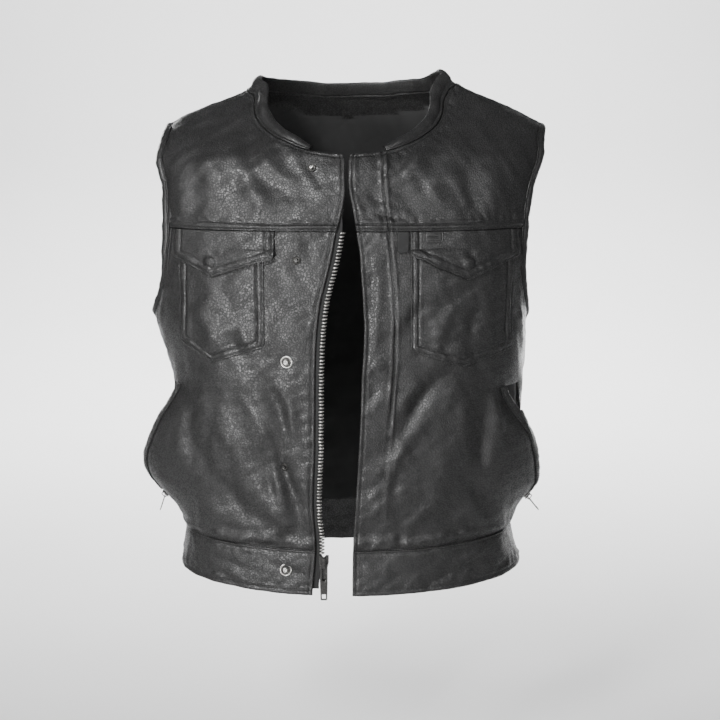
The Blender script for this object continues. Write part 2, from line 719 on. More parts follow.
def makeStitches(name, finish):
    # share of the length, share of the radius, lift
    rings = [(-0.5, 0.15, -0.5), (-0.36, 0.8, 0), (0.0, 1.0, 0.25), (0.36, 0.8, 0), (0.5, 0.15, -0.5)]
    sides = 5
    vertices, faces, start = [], [], 0
    for points, ahead, out in stitchLines:
        beside = np.cross(ahead, out)
        ring = []
        for where, size, lift in rings:
            middle = points + ahead * (where * threads["length"])
            middle = middle + out * (threads["rise"] + lift * threads["radius"])
            for k in range(sides):
                a = 2 * np.pi * k / sides
                spoke = beside * math.cos(a) + out * math.sin(a)
                ring.append(middle + spoke * threads["radius"] * size)
        block = np.stack(ring, 1)
        vertices.append(block.reshape(-1, 3))
        each = len(rings) * sides
        for n in range(len(points)):
            base = start + n * each
            for r in range(len(rings) - 1):
                for k in range(sides):
                    a, b = base + r * sides + k, base + r * sides + (k + 1) % sides
                    faces.append([a, b, b + sides, a + sides])
        start += block.shape[0] * each
    return makeObject(name, np.concatenate(vertices), faces, [finish])


def ringFaces(number):
    # the faces between each ring of numbered points and the next
    here, ahead = number[:-1], number[1:]
    return np.stack([here, np.roll(here, -1, 1), np.roll(ahead, -1, 1), ahead], -1).reshape(-1, 4)


def makeTube(name, rings, finish, closed=False):
    number = np.arange(rings.shape[0] * rings.shape[1]).reshape(rings.shape[:2])
    quads = ringFaces(np.concatenate([number, number[:1]]) if closed else number)
    faces = quads.tolist()
    if not closed:
        faces += [number[0].tolist()[::-1], number[-1].tolist()]
    flat = rings.reshape(-1, 3)
    facing = np.cross(flat[quads[:, 1]] - flat[quads[:, 0]], flat[quads[:, 3]] - flat[quads[:, 0]])
    outwards = (rings - rings.mean(1, keepdims=True)).reshape(-1, 3)[quads[:, 0]]
    if (facing * outwards).sum() < 0:
        faces = [face[::-1] for face in faces]
    return makeObject(name, flat, faces, [finish])


# ---- finishes
class Value:
    # one shader output; sums and products of it add Math nodes
    def __init__(self, finish, socket):
        self.finish, self.socket = finish, socket

    def maths(self, operation, first, second):
        return self.finish.node("ShaderNodeMath", {"operation": operation}, {0: first, 1: second})

    def __add__(self, other):
        return self.maths("ADD", self, other)

    def __sub__(self, other):
        return self.maths("SUBTRACT", self, other)

    def __rsub__(self, other):
        return self.maths("SUBTRACT", other, self)

    def __mul__(self, other):
        return self.maths("MULTIPLY", self, other)

    __radd__, __rmul__ = __add__, __mul__

    def fade(self, low, high):
        # 0 up to low, 1 from high on, smooth between
        ends = {"From Min": low, "From Max": high, "To Min": 0.0, "To Max": 1.0, "Value": self}
        return self.finish.node("ShaderNodeMapRange", {"interpolation_type": "SMOOTHSTEP"}, ends)


class Finish:
    def __init__(self, name):
        self.material = bpy.data.materials.new(name)
        self.material.use_nodes = True
        self.nodes, self.links = self.material.node_tree.nodes, self.material.node_tree.links
        self.surface = self.nodes["Principled BSDF"]

    def node(self, kind, settings=None, inputs=None, output=0):
        made = self.nodes.new(kind)
        for key, value in (settings or {}).items():
            setattr(made, key, value)
        self.fill(made, inputs or {})
        return Value(self, made.outputs[output])

    def fill(self, made, inputs):
        for key, value in inputs.items():
            if isinstance(value, Value):
                self.links.new(value.socket, made.inputs[key])
            else:
                made.inputs[key].default_value = value

    def place(self):
        return self.node("ShaderNodeTexCoord", output="Object")

    def noise(self, where, scale, detail, rough=0.55):
        inputs = {"Vector": where, "Scale": scale, "Detail": detail, "Roughness": rough}
        return self.node("ShaderNodeTexNoise", None, inputs)

    def cells(self, where, scale):
        inputs = {"Vector": where, "Scale": scale, "Randomness": 1.0}
        return self.node("ShaderNodeTexVoronoi", {"feature": "DISTANCE_TO_EDGE"}, inputs)

    def bands(self, where, scale, way):
        inputs = {"Vector": where, "Scale": scale, "Distortion": 0.4}
        return self.node("ShaderNodeTexWave", {"wave_type": "BANDS", "bands_direction": way}, inputs, 1)

    def bent(self, where, scale, amount):
        # the places pushed about a little, so that a pattern isn't quite regular
        push = self.node("ShaderNodeTexNoise", None, {"Vector": where, "Scale": scale}, 1)
        push = self.node("ShaderNodeVectorMath", {"operation": "SCALE"}, {0: push, "Scale": amount})
        return self.node("ShaderNodeVectorMath", {"operation": "ADD"}, {0: where, 1: push})

    def blend(self, share, low, high):  # sockets 6 and 7 and output 2 are the colours
        return self.node("ShaderNodeMix", {"data_type": "RGBA"}, {0: share, 6: low, 7: high}, 2)

    def bump(self, height, distance, strength=1.0, under=None):
        inputs = {"Height": height, "Distance": distance, "Strength": strength}
        if under:
            inputs["Normal"] = under
        return self.node("ShaderNodeBump", None, inputs)

    def show(self, **sockets):
        self.fill(self.surface, {key.replace("_", " "): value for key, value in sockets.items()})
        return self.material


def grey(value, warm=0.0):
    return (value * (1 + warm), value, value * (1 - warm), 1)


def darker(colour, share):
    return tuple(c * share for c in colour[:3]) + (1,)


leatherLooks = {
    "pebble": 3.1,  # mm across one pebble of the grain
    "pebbleDepth": 0.15,
    "creaseDepth": 0.4,
    "dark": grey(0.0015, 0.01),
    "light": (0.0088, 0.0082, 0.008, 1),
    "rough": (0.33, 0.56),
    "coat": 0.2,
}


def leatherFinish(name, looks, rub=0.0):
    f = Finish(name)
    where = f.place()
    bend = f.noise(where, 160, 2)
    bent = f.bent(where, 300.0, 0.0022)
    pebbles = f.cells(bent, 1 / (looks["pebble"] * mm))
    small = f.cells(bent, 2.3 / (looks["pebble"] * mm))
    bunch = f.noise(where, 1 / (2.6 * looks["pebble"] * mm), 2)
    height = pebbles.fade(0.02, 0.2) * 0.8 + small.fade(0.0, 0.2) * 0.15 + (bunch - 0.5) * 0.5
    broad = f.noise(where, 26, 4)
    wide = f.noise(where, 7, 3)
    worn = broad.fade(0.42, 0.68)
    colour = f.blend(height * (0.75 + worn * 0.3), looks["dark"], looks["light"])
    low, high = looks["rough"]
    rough = low + (high - low) * (1 - height * 0.8) + bend * 0.06 + wide.fade(0.35, 0.7) * 0.05 - rub
    soft = f.bump(broad + wide * 2, looks["creaseDepth"] * 2 * mm)
    grain = f.bump(height, looks["pebbleDepth"] * mm * 1.6, 1.0, soft)
    fine = f.bump(bend, 0.1 * mm, 0.6, grain)
    f.surface.inputs["Coat Roughness"].default_value = 0.3
    f.surface.inputs["Specular IOR Level"].default_value = 0.5
    polish = height.fade(0.35, 0.85) * looks["coat"]
    return f.show(Base_Color=colour, Roughness=rough, Coat_Weight=polish, Normal=fine)


def metalFinish(name, tint, rough, tarnish):
    f = Finish(name)
    where = f.place()
    spots = f.noise(where, 240, 5, 0.65)
    brushed = f.noise(where, 1500, 2)
    dull = spots.fade(0.4, 0.72)
    colour = f.blend(dull, tint, darker(tint, 1 - tarnish))
    f.surface.inputs["Metallic"].default_value = 1.0
    relief = f.bump(brushed + spots * 2, 0.02 * mm, 0.7)
    return f.show(Base_Color=colour, Roughness=rough + dull * 0.16 + brushed * 0.05, Normal=relief)


def wovenFinish(name, colour, pitch, rough, sheen):
    f = Finish(name)
    where = f.place()
    bent = f.bent(where, 90.0, 0.0006)
    scale = math.pi / (pitch * mm) / 10
    weft, warp = f.bands(bent, scale, "Z"), f.bands(bent, scale, "X")
    yarn = weft * 0.6 + warp * 0.4
    dust = f.noise(where, 60, 4)
    shade = f.blend(yarn * 0.7 + dust * 0.3, darker(colour, 0.55), colour)
    f.surface.inputs["Sheen Weight"].default_value = sheen
    f.surface.inputs["Sheen Roughness"].default_value = 0.5
    relief = f.bump(yarn, 0.12 * mm, 0.9)
    return f.show(Base_Color=shade, Roughness=rough + dust * 0.1, Normal=relief)


def threadFinish(name, colour):
    f = Finish(name)
    twist = f.noise(f.place(), 1900, 2)
    shade = f.blend(twist, darker(colour, 0.5), colour)
    return f.show(Base_Color=shade, Roughness=0.5 + twist * 0.2, Normal=f.bump(twist, 0.06 * mm))


leatherCloth = leatherFinish("leather grain", leatherLooks)
bandLooks = {**leatherLooks, "pebble": 2.4, "pebbleDepth": 0.1, "rough": (0.36, 0.54)}
bandLeather = leatherFinish("leather binding", bandLooks, 0.02)
liningCloth = wovenFinish("lining twill", grey(0.012), 0.6, 0.78, 0.25)
tapeCloth = wovenFinish("zip tape", grey(0.011), 0.9, 0.85, 0.15)
labelCloth = wovenFinish("label tape", grey(0.0015), 0.45, 0.6, 0.05)
thread = threadFinish("sewing thread", grey(0.006))
nickel = metalFinish("worn nickel", (0.5, 0.49, 0.47, 1), 0.25, 0.5)
gunmetal = metalFinish("dark gunmetal", (0.11, 0.108, 0.105, 1), 0.24, 0.4)
pullMetal = metalFinish("dark nickel", (0.11, 0.108, 0.104, 1), 0.26, 0.45)
toothMetal = metalFinish("zip teeth", (0.34, 0.33, 0.315, 1), 0.3, 0.5)
blackened = metalFinish("blackened snap", (0.05, 0.049, 0.047, 1), 0.36, 0.5)
shell = [leatherCloth, liningCloth]  # the face and the facings, then the lining
print("finishes made")

# ---- camera, floor and lights
view = {"target": (0.015, 0, -0.32), "distance": 2.0, "elevation": 9.7, "lens": 80}
cameraData = bpy.data.cameras.new("camera")
cameraData.lens, cameraData.sensor_width = view["lens"], 36
camera = bpy.data.objects.new("camera", cameraData)
bpy.context.scene.collection.objects.link(camera)
tilt = view["elevation"] * degree
reach = Vector((0, -math.cos(tilt), math.sin(tilt))) * view["distance"]
camera.location = Vector(view["target"]) + reach
camera.rotation_euler = (math.pi / 2 - tilt, 0, 0)
bpy.context.scene.camera = camera

studio = {
    "floor": -0.86,
    "front": -38.8,  # the paper reaches well beyond every view
    "side": 40,
    "back": 3.1,
    "bend": 0.7,
    "height": 12,
    "world": (0.9, 0.91, 0.93),
    "worldStrength": 0.33,
    "lamps": [  # name, place, aimed at, size, power, spread
        ["key", (-0.95, -1.9, 0.95), (0, 0, -0.34), (0.5, 0.6), 10, 70],
        ["low", (-1.1, -2.15, -0.45), (0, 0, -0.3), (1.0, 0.4), 4.2, 45],
        ["fill", (1.1, -2.3, 0.3), (0, 0, -0.25), (0.5, 0.6), 1.6, 60],
        ["high", (0.1, -1.1, 2.3), (0, 0, -0.2), (0.7, 0.4), 0.4, 75],
        ["back", (-1.35, 1.7, 0.45), (0, 0, -0.3), (0.5, 0.6), 6, 70],
        ["back low", (1.2, 1.9, -0.5), (0, 0, -0.35), (0.6, 0.4), 1.6, 60],
        ["paper", (0.0, 1.2, 2.6), (0, 2.3, -0.3), (3.2, 0.8), 140, 85],
    ],
}


def makeStudio():
    side, bend = studio["side"], studio["bend"]
    flatEnd = studio["back"] - bend
    rows = [(studio["front"], 0), (flatEnd, 0)]
    for a in np.linspace(0.1, math.pi / 2, 14):
        rows.append((flatEnd + bend * math.sin(a), bend * (1 - math.cos(a))))
    rows += [(studio["back"], studio["height"])]
    points = [(x / mm, y / mm, (z + studio["floor"]) / mm) for y, z in rows for x in (-side, side)]
    faces = [[2 * k, 2 * k + 1, 2 * k + 3, 2 * k + 2] for k in range(len(rows) - 1)]
    f = Finish("studio paper")
    mottled = f.noise(f.place(), 3, 3)
    paper = f.show(Base_Color=f.blend(mottled, grey(0.78), grey(0.82)), Roughness=0.9 + mottled * 0.05)
    makeObject("floor", points, faces, [paper])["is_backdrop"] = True
    world = bpy.data.worlds.new("studio")
    world.use_nodes = True
    background = world.node_tree.nodes["Background"]
    background.inputs["Color"].default_value = (*studio["world"], 1)
    background.inputs["Strength"].default_value = studio["worldStrength"]
    bpy.context.scene.world = world
    for name, place, aim, size, power, spread in studio["lamps"]:
        lamp = bpy.data.lights.new(name, "AREA")
        lamp.shape, lamp.size, lamp.size_y, lamp.energy = "RECTANGLE", size[0], size[1], power
        lamp.spread = spread * degree
        holder = bpy.data.objects.new(name, lamp)
        holder.location = place
        holder.rotation_euler = (Vector(aim) - Vector(place)).to_track_quat("-Z", "Y").to_euler()
        bpy.context.scene.collection.objects.link(holder)


makeStudio()
print("studio ready")

# ---- fronts
fronts = {
    "step": 2.1,
    "edgeStitch": {"right": 4.2, "left": 5.0},
    "yokeStitch": (2.4, 8.6),
    "sideStitch": 3.5,
    "neckStitch": 4.0,
    "capInset": 20,
    # the lengths in mm that the rows and columns are spaced over
    "wide": 186,
    "foot": 52,
    "top": 142,
    "yokeSeam": 232,
    "yokeHigh": 102,
    "cap": 128,
    "faced": 45,  # how far the leather facing goes back from the front edge
}
mouthColumns, mouthRows = (edgeColumns, edgeColumns + 1), rowStops[1:3]
armRow, topRow = rowStops[3:]
mouthWide = 13.5
placket = {  # the stitch line down the left front: level and how far across
    "columns": ["level", "left"],
    "rows": [
        [-600, 41.4], [-496, 41.4], [-432, 45], [-371, 50.5], [-300, 55], [-238, 56],
        [-200, 53.5], [-146, 48.5], [-110, 44], [-60, 41.4],
    ],
}
snapRows = [[41, -75], [58.7, -181], [70.8, -300], [75.8, -429], [74.2, -555]]  # across, level


def bossed(points, x, z, radius, height, soft=0.35):
    # a round cap pressed up from behind
    away = np.hypot(points[..., 0] - x, points[..., 2] - z)
    return height / (1 + np.exp((away - radius) / (radius * soft * 0.5)))


def frontRelief(patch, flank):
    points, level = patch["points"], patch["level"]
    side = flankName(flank)
    inFront = (patch["turn"] * flank < 60) * 1.0
    lift = topstitched(patch, patch["acrossStart"], fronts["edgeStitch"][side], 11 + flank)
    if flank == left:
        beside = (points[..., 0] - readTable(placket, "left", level)) * inFront + farOff * (1 - inFront)
        away = np.abs(beside)
        lift += groove(away, 0, 1.2, 1.0) + 1.3 * np.exp(-(((beside - 3.4) / 1.9) ** 2))
        lift += 0.5 * np.exp(-(((beside + 3.2) / 2.0) ** 2))
        lift += gathered(points, away, 31, 0.4, 13, 9)
        for _, z in snapRows:
            x = readTable(frontEdges, "left", z) + fronts["capInset"]
            lift += bossed(points, float(x), z, 8, 1.3) * inFront
    else:
        for x, z in snapRows:
            lift -= bossed(points, -x, z, 10, 0.8, 0.6) * inFront
    return lift


def makeFront(flank):
    name = flankName(flank)
    wide, short, tall = fronts["wide"], fronts["foot"], fronts["top"]
    (lipFront, lipBack), (mouthLow, mouthHigh) = mouthColumns, mouthRows
    placketSeam = (31.5, 34, 36.5, 38.5) if flank == left else ()
    columns = stations(wide, fronts["step"], rows=placketSeam)[:-edgePlaces] / wide * edgeColumns
    lipPlaces = [13.6, 13.75, 13.87, 13.95, lipFront, 14.25, 14.5, 14.75, 14.95, lipBack, 15.05]
    side = edgeColumns + flankColumns - stations(15, 4)[:edgePlaces][::-1] / 15
    columns = np.concatenate([columns[columns < 13.45], lipPlaces, np.linspace(15.2, 17.6, 20), side])
    columns = np.unique(np.round(columns, 4))
    low = np.concatenate([stations(short, 2.2)[:-edgePlaces] / short * mouthLow, [2.9, mouthLow, 3.04]])
    mouth = np.arange(3.15, mouthHigh, 0.15)
    high = np.concatenate([[11.97, mouthHigh], mouthHigh + np.arange(0.2, 5, 0.26), [armRow]])
    top = topRow - (stations(tall, 2.4)[:-edgePlaces - 3] / tall * (topRow - armRow))[::-1]
    rows = np.unique(np.round(np.concatenate([low, mouth, high, top[top > armRow + 0.1]]), 4))
    clear = lambda i, j: (i > lipFront) & (i < lipBack) & (j > mouthLow) & (j < mouthHigh)
    patch = lay(lambda i, j: frontSpots(flank, i, j), columns, rows, clear)
    lift = frontRelief(patch, flank)
    below, above = patch["upStart"], patch["upEnd"]
    lift += 2.4 * np.exp(-(((below - 9) / 6) ** 2)) + rolled(below, 2.2)
    lift += gathered(patch["points"], below, 41 + flank, 1.0, 17, 16)
    lift += gathered(patch["points"], above, 43 + flank, 0.35, 9, 10) + rolled(above, 1.0)
    lift -= 0.5 * np.exp(-above / 3)
    lift += topstitched(patch, patch["acrossEnd"], fronts["sideStitch"], 47)
    inMouth = (patch["j"] >= mouthLow) & (patch["j"] <= mouthHigh)
    toLip = np.minimum(np.abs(patch["i"] - lipFront), np.abs(patch["i"] - lipBack)) * mouthWide
    lift += np.where(inMouth, rolled(toLip, 1.0), 0)
    patch["lift"] = lift
    inner = lambda p: np.where((p["acrossStart"] < fronts["faced"]) | (p["acrossEnd"] < 6), 0, 1)
    ride(makeCloth(f"frontPanel.{name}", [patch], leather, shell, inner), f"front_panel_{name}")
    sew(lineAlong(patch, patch["acrossStart"], fronts["edgeStitch"][name], 0))
    sew(lineAlong(patch, patch["acrossEnd"], fronts["sideStitch"], 0))


def makeYoke(flank):
    side = flankName(flank)
    seamLong, capLong, tall = fronts["yokeSeam"], fronts["cap"], fronts["yokeHigh"]
    near, far = fronts["yokeStitch"]
    placketSeam = (37, 39.5, 42) if flank == left else ()
    seam = stations(seamLong, fronts["step"], rows=placketSeam)[:-edgePlaces] / seamLong * yokeColumns
    cap = yokeColumns + stations(capLong, 2.6)[edgePlaces:] / capLong * capColumns
    columns = pinned(np.unique(np.round(np.concatenate([seam, cap]), 4)), [yokeColumns])
    rows = stations(tall, fronts["step"], rows=(far,)) / tall * yokeRows
    patch = lay(lambda i, j: yokeSpots(flank, i, j), columns, rows)
    onSeam = patch["i"] <= yokeColumns
    foot = np.where(onSeam, patch["upStart"], patch["upStart"] + 40 * (patch["i"] - yokeColumns))
    lift = frontRelief(patch, flank)
    edge = np.exp(-((foot / 11) ** 4))
    lift += 1.4 * edge + rolled(foot, 1.4) + groove(foot, near, 0.8, 0.8) + groove(foot, far, 1.3, 1.0)
    lift += 0.9 * np.exp(-(((foot - 5.6) / 1.7) ** 2)) + 0.5 * np.exp(-(((foot - far - 3) / 2.0) ** 2))
    lift += gathered(patch["points"], foot - far, 51 + flank, 0.4, 11, 12) * (foot > far - 2)
    lift += np.where(onSeam, 0, topstitched(patch, patch["upStart"], farOff, 53, roll=1.0)) * 0.4
    neck = topstitched(patch, patch["upEnd"], fronts["neckStitch"], 55 + flank, 0.4, 12)
    lift += neck + topstitched(patch, patch["acrossEnd"], fronts["sideStitch"], 57)
    patch["lift"] = lift
    inner = lambda p: np.where((p["acrossStart"] < fronts["faced"]) | (p["upEnd"] < 40), 0, 1)
    ride(makeCloth(f"frontYoke.{side}", [patch], leather, shell, inner), f"front_yoke_{side}")
    sew(lineAlong(patch, patch["acrossStart"], fronts["edgeStitch"][side], 0))
    along = patch["i"][:, 0] <= yokeColumns
    seamPart = {k: patch[k][along] for k in ("points", "normals", "lift", "upStart")}
    for at in fronts["yokeStitch"]:
        sew(lineAlong(seamPart, seamPart["upStart"], at, 1))
    sew(lineAlong(patch, patch["upEnd"], fronts["neckStitch"], 1))
    sew(lineAlong(patch, patch["acrossEnd"], fronts["sideStitch"], 0))


def sewPlacket():
    level = np.linspace(-586, -64, 400)
    points, normal = skin(turnAcross(readTable(placket, "left", level), level), level)
    lift = np.where(level < -530, 0.3, -0.6)  # over the waistband, then down in the groove
    sew((points + normal * lift[:, None], normal))


for flank in (right, left):
    makeFront(flank)
    makeYoke(flank)
sewPlacket()
print("fronts made")

# ---- back
backs = {"step": 3.6, "capStep": 3, "seam": 262, "cap": 128, "lower": 382, "upper": 106}  # mm


def makeBack():
    patches = []
    seam = stations(backs["seam"], backs["step"])[edgePlaces:] / backs["seam"] * yokeColumns
    seam = np.concatenate([[0.0], seam[seam > 0.1]])
    cap = yokeColumns + stations(backs["cap"], backs["capStep"])[edgePlaces:] / backs["cap"] * capColumns
    across = pinned(np.unique(np.round(np.concatenate([seam, cap]), 4)), [yokeColumns])
    low = stations(backs["lower"], backs["step"])[:-edgePlaces] / backs["lower"] * topRow
    low = pinned(np.concatenate([low[low < topRow - 0.1], [topRow]]), rowStops)
    high = stations(backs["upper"], backs["capStep"])[edgePlaces:] / backs["upper"] * yokeRows
    high = np.concatenate([[0.0], high[high > 0.1]])
    for flank in (right, left):
        lower = lay(lambda i, j: backSpots(flank, i, j, False), across[across <= yokeColumns], low)
        upper = lay(lambda i, j: backSpots(flank, i, j, True), across, high)
        below = lower["upStart"]
        bloused = 2.4 * np.exp(-(((below - 9) / 6) ** 2)) + rolled(below, 2.2)
        bloused += gathered(lower["points"], below, 61, 1.0, 19, 16)
        underArm = topstitched(lower, lower["acrossEnd"], fronts["sideStitch"], 63)
        lower["lift"] = bloused + underArm * np.clip(lower["upEnd"] / 24, 0, 1)
        onCap = upper["i"] > yokeColumns
        fromCap = np.where(onCap, upper["upStart"], farOff)
        upper["lift"] = rolled(fromCap, 0.25) + topstitched(upper, upper["upEnd"], fronts["neckStitch"], 65)
        upper["lift"] += topstitched(upper, upper["acrossEnd"], fronts["sideStitch"], 67)
        corner = np.hypot((upper["i"] - yokeColumns) * 26, upper["upStart"])
        upper["lift"] -= 0.4 * np.exp(-((corner / 5) ** 2)) * ~onCap
        patches += [lower, upper]
        sew(lineAlong(lower, lower["acrossEnd"], fronts["sideStitch"], 0))
        sew(lineAlong(upper, upper["upEnd"], fronts["neckStitch"], 1))
        sew(lineAlong(upper, upper["acrossEnd"], fronts["sideStitch"], 0))
    # only the upper patches have a facing, below the neck
    inner = lambda p: np.where((p["upEnd"] < 38) & (p["j"].max() < yokeRows + 1), 0, 1)
    ride(makeCloth("backPanel", patches, leather, shell, inner), "back_panel")


makeBack()
print("back made")

# ---- waistband
band = {
    "proud": 0.8,
    "step": 2.4,
    "topStitch": 3.2,
    "footStitch": 5.5,
    "endStitch": 4.2,
    "high": 52,
    "front": 225,
    "back": 470,
}


def makeBand(side, startTurn, endTurn, length, seed):
    s = stations(length, band["step"]) / length
    t = stations(band["high"], 2.2) / band["high"]
    patch = lay(lambda i, j: waistSpots(startTurn, endTurn, i, j), s, t)
    points = patch["points"]
    foot = topstitched(patch, patch["upStart"], band["footStitch"], seed, 0.75, 12, 13, 0.6, 1.3)
    lift = band["proud"] + foot
    lift += topstitched(patch, patch["upEnd"], band["topStitch"], seed + 1, 0.45, 11, 10, 0.5, 1.2)
    if side != "back":
        lift += topstitched(patch, patch["acrossStart"], band["endStitch"], seed + 2, 0.3)
        lift += topstitched(patch, patch["acrossEnd"], 3.0, seed + 3, 0.4)
    across, level = snapRows[-1]
    if side == "right":
        lift -= bossed(points, -across, level, 10, 0.7, 0.6)
    if side == "left":
        cap = float(readTable(frontEdges, "left", level)) + fronts["capInset"]
        lift += bossed(points, cap, level, 8, 1.2)
        beside = points[..., 0] - readTable(placket, "left", patch["level"])
        seam = groove(np.abs(beside), 0, 0.8, 1.1) + 0.8 * np.exp(-(((beside - 3) / 2) ** 2))
        lift += np.where(points[..., 1] < 0, seam, 0)
    patch["lift"] = lift
    ride(makeCloth(f"waistband.{side}", [patch], leather, shell, leatherBack), f"waistband_{side}")
    sew(lineAlong(patch, patch["upStart"], band["footStitch"], 1))
    sew(lineAlong(patch, patch["upEnd"], band["topStitch"], 1))
    if side != "back":
        sew(lineAlong(patch, patch["acrossStart"], band["endStitch"], 0))


for flank in (right, left):
    start = lambda level, flank=flank: edgeTurn(flank, level)
    end = lambda level, flank=flank: flank * (sideTurn - seamTurn) + 0 * np.asarray(level, float)
    makeBand(flankName(flank), start, end, band["front"], 71 + flank)
start = lambda level: sideTurn + seamTurn + 0 * np.asarray(level, float)
end = lambda level: 360 - sideTurn - seamTurn + 0 * np.asarray(level, float)
makeBand("back", start, end, band["back"], 77)
print("waistband made")

# ---- armhole bindings and neck band
binding = {"steps": 260, "stitch": 0.2}
bindingProfile = [  # share of the width inwards, lift
    [0.05, -2.2], [0.05, 0.2], [0.09, 0.9], [0.15, 1.1], [0.2, 1.15], [0.27, 1.6], [0.4, 2.2], [0.56, 2.4],
    [0.72, 2.1], [0.86, 1.2], [0.95, 0.1], [1.0, -0.8], [0.95, -1.8], [0.82, -2.7], [0.6, -3.1], [0.3, -3.0],
    [0.12, -2.8],
]


def bindingPoints(flank, angle, across, lift):
    oval = {k: mix(armholeSeam[k], armholeEdge[k], across) for k in armholeSeam}
    turn, level = armholeSpot(oval, flank, angle)
    points, normal = skin(turn, level, 0)
    return points + normal * lift, normal


def makeBinding(flank):
    angle = np.linspace(0, 360, binding["steps"], endpoint=False)
    rings = []
    for across, lift in bindingProfile:
        points, normal = bindingPoints(flank, angle, across, lift)
        if lift > 0:
            sunk = 0.8 * np.exp(-(((across - binding["stitch"]) / 0.08) ** 2))
            points = points + normal * (0.22 * ripple(points, 9, 81) - sunk)[:, None]
        rings.append(points)
    piece = makeTube(f"armholeBinding.{flankName(flank)}", np.stack(rings, 1), bandLeather, closed=True)
    ride(piece, f"armhole_binding_{flankName(flank)}")
    sew(bindingPoints(flank, np.append(angle, 360), binding["stitch"], 0.5))


neckBand = {
    "columns": ["turn", "width", "lean"],
    "rows": [[0, 13, 24], [20, 16, 30], [40, 20, 38], [90, 22, 44], [140, 19, 58], [180, 18, 62]],
}
neckProfile = [  # share of the width, lift
    [0.02, -2.0], [0.0, 0.2], [0.04, 1.0], [0.1, 1.25], [0.17, 0.7], [0.22, 0.2], [0.28, 1.1], [0.38, 2.4],
    [0.52, 3.2], [0.68, 3.2], [0.83, 2.4], [0.94, 1.0], [1.0, -0.6], [0.97, -1.6], [0.85, -2.3], [0.5, -2.5],
    [0.15, -2.3],
]


def neckPoints(turn, across, lift):
    flank = np.where(turn > 180, right, left)
    around = np.where(turn > 180, 360 - turn, turn)
    level = neckLevel(flank * np.maximum(around, 1e-6))
    seam, _ = skin(flank * around, level, 0)
    lean = readTable(neckBand, "lean", around) * degree
    inward = np.stack([-seam[:, 0], -seam[:, 1] - 12, 0 * around], -1)
    inward /= np.linalg.norm(inward, axis=1, keepdims=True)
    up = np.array([0, 0, 1.0])
    along = inward * np.cos(lean)[:, None] + up * np.sin(lean)[:, None]
    face = -inward * np.sin(lean)[:, None] + up * np.cos(lean)[:, None]
    reachIn = seamGap + across * readTable(neckBand, "width", around)
    points = seam + along * reachIn[:, None] + face * np.broadcast_to(lift, around.shape)[:, None]
    return points, face


def makeNeckBand():
    share = 3 / (yokeColumns + capColumns)
    ends = [abs(float(yokeHead(flank, share))) for flank in (left, right)]
    turn = np.linspace(ends[0], 360 - ends[1], 330)
    rings = []
    for across, lift in neckProfile:
        points, face = neckPoints(turn, across, lift)
        pull = 0.3 * ripple(points, 10, 85) if lift > 0.5 else 0 * turn
        rings.append(points + face * pull[:, None])
    rings = np.stack(rings, 1)
    root = neckPoints(turn, 0.3, -0.8)[0][:, None]
    fromEnd = np.minimum(np.arange(len(turn)), np.arange(len(turn))[::-1])
    size = mix(0.5, 1, np.sin(np.pi / 2 * np.clip((fromEnd + 0.6) / 7, 0, 1)))[:, None, None]
    rings = root + (rings - root) * size
    piece = makeTube("neckBand", rings, bandLeather)
    ride(piece, "neck_band")
    sew(neckPoints(turn[2:-2], 0.22, 0.1))
    return piece


for flank in (right, left):
    makeBinding(flank)
neckPiece = makeNeckBand()


def makeSeamCore():
    # the turned-in leather that shows dark at the bottom of every seam
    wide, narrow = 3, 1.2  # half the width of the strip
    edges = [float(edgeTurn(flank, -525)) for flank in (right, left)]
    waist = np.linspace(edges[1], 360 + edges[0], 620)
    lines = [(waist, dipLevel(waistSeam, waist), wide)]
    for flank in (right, left):
        corner = float(armholeSpot(armholeSeam, flank, np.array(yokeAngle))[0])
        yoke = np.linspace(float(edgeTurn(flank, yokeSeam)), corner, 160)
        side = np.linspace(-568, -266, 180)
        shoulder = np.linspace(-25, float(neckLevel(flank * shoulderTurn)), 80)
        lines.append((yoke, yokeSeam + 0 * yoke, wide))
        lines.append((flank * sideTurn + 0 * side, side, wide))
        lines.append((flank * shoulderTurn + 0 * shoulder, shoulder, wide))
        lines.append((*armholeSpot(armholeSeam, flank, np.linspace(0, 360, 260)), wide))
    neck = np.linspace(10, 350, 400)
    lines.append((neck, neckLevel(np.where(neck > 180, neck - 360, neck)), narrow))
    vertices, faces, start = [], [], 0
    for turn, level, half in lines:
        turn = np.where(np.abs(turn) > 180, turn - 360, turn)
        points, normal = skin(turn, level, 0)
        ahead = np.gradient(points, axis=0)
        ahead /= np.linalg.norm(ahead, axis=1, keepdims=True) + 1e-9
        beside = np.cross(ahead, normal)
        section = ((-1, -0.9), (1, -0.9), (1, -1.7), (-1, -1.7))
        ring = np.stack([points + beside * x * half + normal * z for x, z in section], 1)
        number = start + np.arange(len(points) * 4).reshape(-1, 4)
        faces += ringFaces(number).tolist() + [number[0].tolist(), number[-1].tolist()]
        vertices.append(ring.reshape(-1, 3))
        start += number.size
    return ride(makeObject("seamCore", np.concatenate(vertices), faces, [bandLeather]))


seamCore = makeSeamCore()
print("bindings made")

